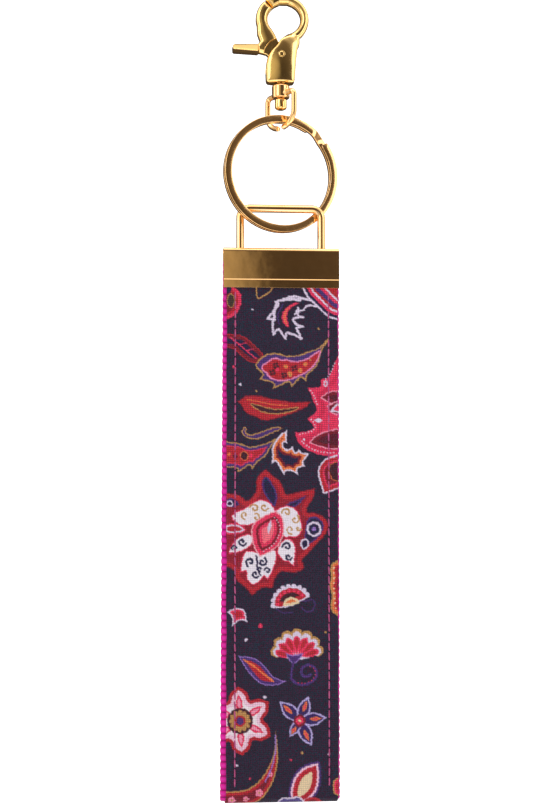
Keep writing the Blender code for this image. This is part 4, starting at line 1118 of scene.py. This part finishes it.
def wave(x, z):
    """Slight unevenness of the cloth, the same wherever the strap is split."""
    return (
        0.022 * np.sin(0.37 * x + 0.13 * z + 0.6)
        + 0.018 * np.sin(0.21 * x - 0.29 * z + 2.1)
        + 0.012 * np.sin(0.83 * x + 0.47 * z + 4.0)
        + 0.010 * np.sin(1.31 * x - 0.71 * z + 1.0)
    )


def stitch_dip(x, s):
    """How far the stitch rows pull the cloth in; deepest where the thread goes through."""
    dip = 0.0
    phase = np.abs((s / STITCH_PITCH) % 1.0 - 0.5) * 2
    for xs in STITCH_X:
        g = np.exp(-(((x - xs) / 0.42) ** 2))
        wide = np.exp(-(((x - xs) / 1.7) ** 2))
        dip = dip + 0.075 * g * (0.55 + 0.45 * phase**3) + 0.05 * wide * (0.7 + 0.3 * phase)
    return dip


def edge_shape(x_edge, s):
    """The cloth's folded edge wanders a little."""
    return 0.07 * np.sin(0.31 * s + x_edge) + 0.04 * np.sin(1.27 * s + 2 * x_edge)


class Run:
    """Where the strap goes: arc length s from the clamp's mouth, on one leg or round the fold."""

    def __init__(self, kind, side=-1):
        self.kind, self.side = kind, side

    def place(self, x, depth, s):
        """Points at x across, depth from the strap's middle plane, s along."""
        if self.kind == "leg":
            return np.stack([x, self.side * depth, MOUTH - s], -1)
        # fold: s runs from 0 on the front over the bottom to the back
        drop, outer = 1.3, 1.90
        quarter = math.pi / 2 * outer
        centre = FOLD - drop
        straight1 = np.clip(s, 0, drop)
        turn = np.clip((s - drop) / (2 * quarter), 0, 1) * math.pi
        up = np.clip(s - drop - 2 * quarter, 0, drop)
        y = -depth * np.cos(turn)
        z = np.where(turn <= 0, FOLD - straight1, np.where(turn >= math.pi, centre + up, centre - depth * np.sin(turn)))
        return np.stack([x, y, z], -1)


FOLD_LENGTH = 2 * 1.3 + math.pi * 1.90


def section_loop(x, outer, inner, edge_left, edge_right, edge_steps=5):
    """Half the difference between the outer and inner depths."""
    half = (outer - inner) / 2
    return half


def lattice(rows, loops, caps=True):
    """Quads between successive closed rows of the same length, with end caps."""
    n, m = rows, loops
    i = np.arange(n - 1)[:, None]
    j = np.arange(m)[None, :]
    quads = np.stack([i * m + j, (i + 1) * m + j, (i + 1) * m + (j + 1) % m, i * m + (j + 1) % m], -1).reshape(-1, 4)
    groups = [quads]
    if caps:
        groups += [np.arange(m)[None, :], ((n - 1) * m + np.arange(m))[None, ::-1]]
    return groups


def cloth_offset(side, s_total):
    return 0.30 if side < 0 else -0.30


def tip_cut(depth, cap):
    """Where a rounded end lies at a given depth: the end turns about the hinge line 1.1 mm from the middle."""
    return np.sqrt(np.maximum(0.8**2 - (depth - 1.1) ** 2, 0.0)) if cap else 0.0


def canvas_piece(name, kind, side, s0, s1, top_round=False, low_round=False, thin=0.0):
    run = Run(kind, side)
    rows = max(3, int(round((s1 - s0) / (FINE if kind == "leg" else 0.15))) + 1)
    s = np.linspace(s0, s1, rows)
    if kind == "leg":
        centre = np.full(rows, 0.30 if side < 0 else -0.30)
        along = s
    else:
        centre = np.linspace(0.30, -0.30, rows)
        along = s
    cols = int(2 * (CANVAS_HALF - 0.22) / FINE) + 1
    u = np.linspace(-1, 1, cols)
    r = (CANVAS_OUT - CANVAS_IN) / 2
    arc = np.radians(np.linspace(90, -90, 7))[1:-1]
    xs, ds, us = [], [], []
    flat = CANVAS_HALF - r
    base_s = s if (kind == "leg") else s + 4 * SEG
    jit_l, jit_r = edge_shape(-15.0, base_s if side < 0 else base_s + 40), edge_shape(15.0, base_s if side < 0 else base_s + 40)
    if kind == "fold":
        jit_l, jit_r = jit_l * 0, jit_r * 0
    elif True:
        fade = np.clip(np.minimum((4 * SEG - s) / 8.0, 1.0), 0, 1)
        jit_l, jit_r = jit_l * fade, jit_r * fade
    left = -flat + jit_l
    right = flat + jit_r
    x_top = centre[:, None] + left[:, None] + (u[None, :] + 1) / 2 * (right - left)[:, None]
    st = s[:, None]
    rel = x_top - centre[:, None]
    if kind == "leg":
        sgn = 1 if side < 0 else -1
        fade2 = np.clip(np.minimum((4 * SEG - st) / 3.0, 1.0), 0, 1)
        relief = (wave(x_top * sgn, st + (0 if side < 0 else 77)) - stitch_dip(rel * sgn, st)) * fade2
    else:
        relief = np.zeros_like(x_top)
    d_top = CANVAS_OUT - thin + relief
    x_re = centre[:, None] + right[:, None] + r * np.cos(arc)[None, :]
    x_le = centre[:, None] + left[:, None] - r * np.cos(arc[::-1])[None, :]
    mid = (CANVAS_OUT + CANVAS_IN) / 2
    d_re = np.repeat((mid + (r - thin) * np.sin(arc))[None, :], rows, 0)
    d_le = np.repeat((mid + (r - thin) * np.sin(arc[::-1]))[None, :], rows, 0)
    x_in = np.stack([centre + right, centre + left], -1)
    d_in = np.full((rows, 2), CANVAS_IN)
    x = np.concatenate([x_top, x_re, x_in, x_le], 1)
    d = np.concatenate([d_top, d_re, d_in, d_le], 1)
    ss = np.repeat(s[:, None], x.shape[1], 1)
    if top_round or low_round:
        reach = np.sqrt(np.maximum(0.8**2 - (d - 1.1) ** 2, 0.0))
        f = np.clip((s - s0) / (s1 - s0), 0, 1)[:, None]
        if top_round:
            # the end is rounded about the hinge line
            ss = ss - (1 - np.clip((ss - s0) / 1.2, 0, 1)) * np.where(d > 1.1, np.maximum(reach, 0.6), reach)
        if low_round:
            # the clamped end stops short, to leave room for the rounded end below to swing
            ss = ss - np.clip(1 - (s1 - ss) / 1.2, 0, 1) * 1.08
    verts = run.place(x, d, ss).reshape(-1, 3)
    obj = outward(make(name, verts, lattice(rows, x.shape[1]), sharp=40))
    # the print
    if kind == "leg":
        down = ss + 0.85
        if side < 0:
            px, py = 282.1 + 3.63 * (x - 0.3), 288 + 3.645 * down
        else:
            px, py = 564 - (282.1 + 3.63 * (x + 0.3)), 1091 - (288 + 3.645 * down)
    else:
        half = FOLD_LENGTH / 2
        front = ss <= half
        down = np.where(front, 4 * SEG + ss, 4 * SEG + FOLD_LENGTH - ss) + 0.85
        px = np.where(front, 282.1 + 3.63 * (x - 0.3), 564 - (282.1 + 3.63 * (x + 0.3)))
        py = np.where(front, 288 + 3.645 * down, 1091 - (288 + 3.645 * down))
    # the weave breaks up the edges of the print, a thread at a time
    jx, jy = px.ravel(), py.ravel()
    cu, cv = np.floor(jx / 1.82), np.floor(jy / 1.96)
    h1 = np.modf(np.sin(cu * 12.9898 + cv * 78.233) * 43758.5453)[0]
    h2 = np.modf(np.sin(cu * 39.3467 + cv * 11.135) * 24634.6345)[0]
    colour_attribute(obj, "print", paint_cloth(jx + 0.42 * h1, jy + 0.42 * h2))
    place = np.stack([x, -(ss if kind == "leg" else 4 * SEG + ss), d], -1).reshape(-1, 3)
    if kind == "leg" and side > 0:
        place[:, 1] = -(8 * SEG + FOLD_LENGTH) - place[:, 1]
    vector_attribute(obj, "cloth", place)
    paint_slot(obj, canvas_mat)
    return obj


def webbing_piece(name, kind, side, s0, s1, top_round=False, low_round=False, thin=0.0):
    run = Run(kind, side)
    rows = max(3, int(round((s1 - s0) / (0.19 if kind == "leg" else 0.15))) + 1)
    s = np.linspace(s0, s1, rows)
    total = s if kind == "leg" and side < 0 else (4 * SEG + s if kind == "fold" else 8 * SEG + FOLD_LENGTH - s)
    mid, r = (WEB_OUT + WEB_IN) / 2, (WEB_OUT - WEB_IN) / 2
    across = np.linspace(-1, 1, 26)
    arc = np.radians(np.linspace(90, -90, 11))[1:-1]
    lump = np.abs(np.cos(math.pi * total / RIB))
    lump2 = np.abs(np.sin(math.pi * total / RIB))
    edge_out = 0.24 * lump**0.6 - 0.10
    flat = WEB_HALF - r
    x_top = flat * across[None, :] + 0 * s[:, None]
    rib_top = 0.035 * np.cos(TAU * total / RIB)[:, None] * np.cos(x_top * math.pi / 1.15)
    keep_in = -0.02
    d_top = WEB_OUT + keep_in - 0.03 + rib_top * 0.6
    x_re = flat + (r + edge_out[:, None]) * np.cos(arc)[None, :]
    # the side bundles fatten and thin in turn
    d_re = mid + (r - 0.03 - 0.05 * lump2[:, None]) * np.sin(arc)[None, :]
    x_in = flat * across[None, ::-1] + 0 * s[:, None]
    d_in = WEB_IN + 0.03 + 0.035 * np.cos(TAU * total / RIB)[:, None] * np.cos(x_in * math.pi / 1.15)
    # the webbing shows wider on one side, more so towards the fold
    spare = 0.05 + 0.52 * np.clip(np.minimum(total, 8 * SEG + FOLD_LENGTH - total) / (4 * SEG), 0, 1)
    x_le = -(flat + (r + edge_out[:, None]) * np.cos(arc[::-1])[None, :]) - spare[:, None]
    d_le = mid + (r - 0.03 - 0.05 * lump2[:, None]) * np.sin(arc[::-1])[None, :]
    x = np.concatenate([x_top, x_re, x_in, x_le], 1)
    d = np.concatenate([d_top, d_re, d_in, d_le], 1)
    if thin:
        d = mid + (d - mid) * (1 - thin / r)
    ss = np.repeat(s[:, None], x.shape[1], 1)
    reach = np.sqrt(np.maximum(0.8**2 - (d - 1.1) ** 2, 0.0))
    if top_round:
        ss = ss - (1 - np.clip((ss - s0) / 1.2, 0, 1)) * np.where(d > 1.1, np.maximum(reach, 0.6), reach)
    if low_round:
        ss = ss - np.clip(1 - (s1 - ss) / 1.2, 0, 1) * 1.08
    verts = run.place(x, d, ss).reshape(-1, 3)
    obj = outward(make(name, verts, lattice(rows, x.shape[1]), sharp=50))
    tot = np.repeat(total[:, None], x.shape[1], 1)
    wrap = np.where(np.abs(x) > flat, np.sign(x) * flat + (d - mid) * 1.0, x)
    vector_attribute(obj, "cloth", np.stack([wrap, tot, d], -1).reshape(-1, 3))
    paint_slot(obj, webbing_mat)
    return obj


def thread_piece(name, side, s0, s1):
    """The stitches whose middles lie between s0 and s1, on the cloth and on the webbing's inner face."""
    verts, quads, caps, place = [], [], [], []
    base = 0
    ring_n, steps = 8, 9
    first = math.ceil((s0 - STITCH_PITCH / 2) / STITCH_PITCH)
    centres = [k * STITCH_PITCH + STITCH_PITCH / 2 for k in range(first - 1, int(s1 / STITCH_PITCH) + 1)]
    sgn = 1 if side < 0 else -1
    offset = 0.30 if side < 0 else -0.30
    for c0 in centres:
        if not (s0 <= c0 < s1) or c0 + STITCH_LONG / 2 > 4 * SEG - 0.2:
            continue
        for row, xs in enumerate(STITCH_X):
            for face in ("out", "in"):
                t = np.linspace(-1, 1, steps)
                s = c0 + t * STITCH_LONG / 2
                slant = 0.05 * math.sin(7.3 * c0 + row) + 0.03
                x = offset + sgn * xs + slant * t + 0 * s
                arch = np.sqrt(np.maximum(1 - t**2, 0))
                if face == "out":
                    depth = CANVAS_OUT - 0.17 + 0.16 * arch
                else:
                    depth = WEB_IN + 0.10 - 0.13 * arch
                rad = 0.10 + 0.085 * np.sqrt(np.maximum(1 - t**4, 0))
                ring_a = np.arange(ring_n) * TAU / ring_n
                px = x[:, None] + rad[:, None] * 1.08 * np.cos(ring_a)
                pd = depth[:, None] + rad[:, None] * 0.9 * np.sin(ring_a)
                ps = np.repeat(s[:, None], ring_n, 1)
                ps[0] -= 0.0
                pts = np.stack([px, side * pd, MOUTH - ps], -1).reshape(-1, 3)
                verts.append(pts)
                place.append(np.stack([px, ps, pd], -1).reshape(-1, 3))
                i = np.arange(steps - 1)[:, None]
                j = np.arange(ring_n)[None, :]
                quads.append(base + np.stack([i * ring_n + j, (i + 1) * ring_n + j, (i + 1) * ring_n + (j + 1) % ring_n, i * ring_n + (j + 1) % ring_n], -1).reshape(-1, 4))
                caps.append(base + np.arange(ring_n)[None, :])
                caps.append(base + ((steps - 1) * ring_n + np.arange(ring_n))[None, ::-1])
                base += steps * ring_n
    if not verts:
        return None
    obj = outward(make(name, np.concatenate(verts), [np.concatenate(quads), np.concatenate(caps)], sharp=60))
    vector_attribute(obj, "cloth", np.concatenate(place))
    paint_slot(obj, thread_mat)
    return obj


def carry(objs, how):
    """Rides one body; otherwise the piece's placement is baked into its mesh and it rides no body."""
    for o in objs:
        if o is None:
            continue
        if len(how) == 1:
            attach(o, how[0])
        else:
            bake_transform(o)


joint = [MOUTH - SEG * k for k in range(5)]  # hinge heights, clamp to fold
split = [0.45] + [SEG * (k + 0.5) for k in range(4)] + [4 * SEG]  # arc lengths where the pieces part
plan = []
for k in range(5):
    z = joint[k]
    if k == 0:
        how = ("clamp", "front_1", -80.9, -88.5, -1.1)
    elif k == 4:
        how = ("front_4", "fold", z + 7.5, z + 0.05, -1.1)
    else:
        how = (f"front_{k}", f"front_{k + 1}", z + 5.5, z - 5.5, -1.1)
    plan.append((f"front_{k + 1}", -1, split[k], split[k + 1], how, False, False, 0.0))
plan.append(("front_end", -1, -8.4, split[0], ("clamp",), False, False, 0.0))
for k in range(5):
    z = joint[k]
    if k == 0:
        how = ("back_1",)
        plan.append(("back_1", 1, 0.0, split[1], how, True, False, 0.0))
    else:
        if k == 4:
            how = ("fold", "back_4", z + 0.05, z + 7.5, 1.1)
        else:
            how = (f"back_{k + 1}", f"back_{k}", z - 5.5, z + 5.5, 1.1)
        plan.append((f"back_{k + 1}", 1, split[k], split[k + 1], how, False, False, 0.0))
plan.append(("back_end", 1, -8.4, 0.0, ("clamp",), False, True, 0.03))
for name, sd, s0, s1, how, tr, lr, thin in plan:
    c = canvas_piece(f"canvas_{name}_cloth", "leg", sd, s0, s1, tr, lr, thin)
    w = webbing_piece(f"webbing_{name}_strip", "leg", sd, s0, s1, tr, lr, thin)
    th = thread_piece(f"thread_{name}", sd, max(s0, 0.3), s1)
    carry([c, w, th], how)
fold_canvas = canvas_piece("canvas_fold_cloth", "fold", -1, 0.0, FOLD_LENGTH)
fold_web = webbing_piece("webbing_fold_strip", "fold", -1, 0.0, FOLD_LENGTH)
carry([fold_canvas, fold_web], ("fold",))
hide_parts("canvas_fold")
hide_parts("webbing_fold")
for leg in ("front", "back"):
    for k in range(1, 5):
        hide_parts(f"canvas_{leg}_{k}")
        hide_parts(f"webbing_{leg}_{k}")
    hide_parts(f"canvas_end_{leg}")
    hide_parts(f"webbing_end_{leg}")

# ================================================================ floor, backdrop, light and camera
FLOOR = -0.2235
prof = [(-1.6, 0.0), (0.55, 0.0)]
prof += [(0.55 + 0.35 * math.sin(a), 0.35 - 0.35 * math.cos(a)) for a in np.radians(np.linspace(6, 90, 15))]
prof += [(0.90, 1.6)]
verts, quads = [], []
for y, z in prof:
    verts += [(-1900.0, y * 1000, (FLOOR + z) * 1000), (1900.0, y * 1000, (FLOOR + z) * 1000)]
for k in range(len(prof) - 1):
    quads.append((2 * k, 2 * k + 1, 2 * k + 3, 2 * k + 2))
sweep_obj = make("studio_sweep", np.array(verts), [np.array(quads)], sharp=None)
m = Nodes("studio_paper")
m.shader.inputs["Base Color"].default_value = (0.90, 0.90, 0.90, 1)
m.shader.inputs["Roughness"].default_value = 0.9
m.shader.inputs["Specular IOR Level"].default_value = 0.1
m.shader.inputs["Emission Color"].default_value = (1, 1, 1, 1)
seen = m.add("ShaderNodeLightPath").outputs["Is Camera Ray"]
m.link(m.math("MULTIPLY_ADD", seen, 0.80, 0.16), m.shader.inputs["Emission Strength"])
sweep_obj.data.materials.append(m.mat)
sweep_obj.visible_glossy = False

scene = bpy.context.scene
world = bpy.data.worlds.new("studio_world")
scene.world = world
world.use_nodes = True
tree = world.node_tree
tree.nodes.clear()
out = tree.nodes.new("ShaderNodeOutputWorld")
back = tree.nodes.new("ShaderNodeBackground")
coord = tree.nodes.new("ShaderNodeTexCoord")
sep = tree.nodes.new("ShaderNodeSeparateXYZ")
tree.links.new(coord.outputs["Generated"], sep.inputs[0])


def wmath(op, a, b=0.5, clamp=False):
    n = tree.nodes.new("ShaderNodeMath")
    n.operation, n.use_clamp = op, clamp
    for s, v in zip(n.inputs, (a, b)):
        if hasattr(v, "is_output"):
            tree.links.new(v, s)
        else:
            s.default_value = v
    return n.outputs[0]


# the room as metal sees it: dim straight in front, pale to the sides and above, dim behind
front = wmath("MULTIPLY", sep.outputs[1], -0.5)
front = wmath("ADD", front, 0.5)
ramp = tree.nodes.new("ShaderNodeValToRGB")
stops = [
    (0.0, (0.07, 0.052, 0.038)),
    (0.20, (0.13, 0.10, 0.075)),
    (0.36, (0.85, 0.78, 0.70)),
    (0.50, (2.60, 2.50, 2.42)),
    (0.60, (0.95, 0.88, 0.80)),
    (0.69, (0.30, 0.25, 0.20)),
    (0.80, (1.05, 0.97, 0.88)),
    (0.905, (0.155, 0.120, 0.090)),
    (1.0, (0.070, 0.054, 0.040)),
]
while len(ramp.color_ramp.elements) < len(stops):
    ramp.color_ramp.elements.new(0.5)
for e, (p, c) in zip(ramp.color_ramp.elements, stops):
    e.position, e.color = p, (*c, 1)
tree.links.new(front, ramp.inputs[0])
tilt = wmath("ADD", wmath("MULTIPLY", wmath("ABSOLUTE", sep.outputs[2]), 0.75), 0.90)
# a pale card low on the left, which the crowned faces catch
card = tree.nodes.new("ShaderNodeVectorMath")
card.operation = "DOT_PRODUCT"
card.inputs[1].default_value = (-0.402, -0.914, 0.050)
tree.links.new(coord.outputs["Generated"], card.inputs[0])
glow = wmath("MULTIPLY", wmath("SUBTRACT", card.outputs["Value"], 0.900), 10.0, clamp=True)
mixed = tree.nodes.new("ShaderNodeMix")
mixed.data_type = "RGBA"
tree.links.new(glow, mixed.inputs[0])
tree.links.new(ramp.outputs[0], mixed.inputs[6])
mixed.inputs[7].default_value = (0.80, 0.69, 0.46, 1)
# a second card below, in front, for the faces that look down
low_card = tree.nodes.new("ShaderNodeVectorMath")
low_card.operation = "DOT_PRODUCT"
low_card.inputs[1].default_value = (0.0, -0.62, -0.785)
tree.links.new(coord.outputs["Generated"], low_card.inputs[0])
low_glow = wmath("MULTIPLY", wmath("SUBTRACT", low_card.outputs["Value"], 0.80), 7.0, clamp=True)
mixed_low = tree.nodes.new("ShaderNodeMix")
mixed_low.data_type = "RGBA"
tree.links.new(low_glow, mixed_low.inputs[0])
tree.links.new(mixed.outputs[2], mixed_low.inputs[6])
mixed_low.inputs[7].default_value = (1.15, 1.06, 0.98, 1)
tree.links.new(mixed_low.outputs[2], back.inputs["Color"])
tree.links.new(tilt, back.inputs["Strength"])
plain = tree.nodes.new("ShaderNodeBackground")
plain.inputs["Color"].default_value = (0.95, 0.95, 1.0, 1)
plain.inputs["Strength"].default_value = 0.32
path = tree.nodes.new("ShaderNodeLightPath")
pick = tree.nodes.new("ShaderNodeMixShader")
tree.links.new(path.outputs["Is Glossy Ray"], pick.inputs[0])
tree.links.new(plain.outputs[0], pick.inputs[1])
tree.links.new(back.outputs[0], pick.inputs[2])
white = tree.nodes.new("ShaderNodeBackground")
white.inputs["Color"].default_value = (1, 1, 1, 1)
white.inputs["Strength"].default_value = 1.0
shown = tree.nodes.new("ShaderNodeMixShader")
tree.links.new(path.outputs["Is Camera Ray"], shown.inputs[0])
tree.links.new(pick.outputs[0], shown.inputs[1])
tree.links.new(white.outputs[0], shown.inputs[2])
tree.links.new(shown.outputs[0], out.inputs["Surface"])


def softbox(name, place, target, size, size_y, watts, colour=(1, 1, 1)):
    data = bpy.data.lights.new(name, "AREA")
    data.shape, data.size, data.size_y, data.energy, data.color = "RECTANGLE", size, size_y, watts, colour
    obj = bpy.data.objects.new(name, data)
    scene.collection.objects.link(obj)
    obj.location = place
    obj.rotation_euler = (Vector(target) - Vector(place)).to_track_quat("-Z", "Y").to_euler()
    return obj


softbox("key_left", (-0.42, -0.42, 0.10), (0, 0, -0.11), 0.30, 0.55, 1.05)
softbox("fill_right", (0.46, -0.38, 0.02), (0, 0, -0.11), 0.26, 0.50, 0.75)
softbox("top", (0.0, -0.15, 0.42), (0, 0, -0.08), 0.40, 0.30, 0.55)
softbox("back_rim", (0.30, 0.42, 0.10), (0, 0, -0.10), 0.25, 0.45, 0.40)

camera_data = bpy.data.cameras.new("camera")
camera = bpy.data.objects.new("camera", camera_data)
scene.collection.objects.link(camera)
camera_data.sensor_width = 36.0
camera_data.lens = 1319.3 / 811.0 * 36.0
camera_data.clip_start, camera_data.clip_end = 0.01, 10.0
yaw, pitch = 0.07211, 0.04598
camera.location = (-0.02867, -0.36285, -0.12892)
forward = Vector((math.sin(yaw) * math.cos(pitch), math.cos(yaw) * math.cos(pitch), math.sin(pitch)))
camera.rotation_mode = "QUATERNION"
camera.rotation_quaternion = forward.to_track_quat("-Z", "Y")
scene.camera = camera
scene.view_settings.view_transform = "Standard"
scene.view_settings.look = "None"
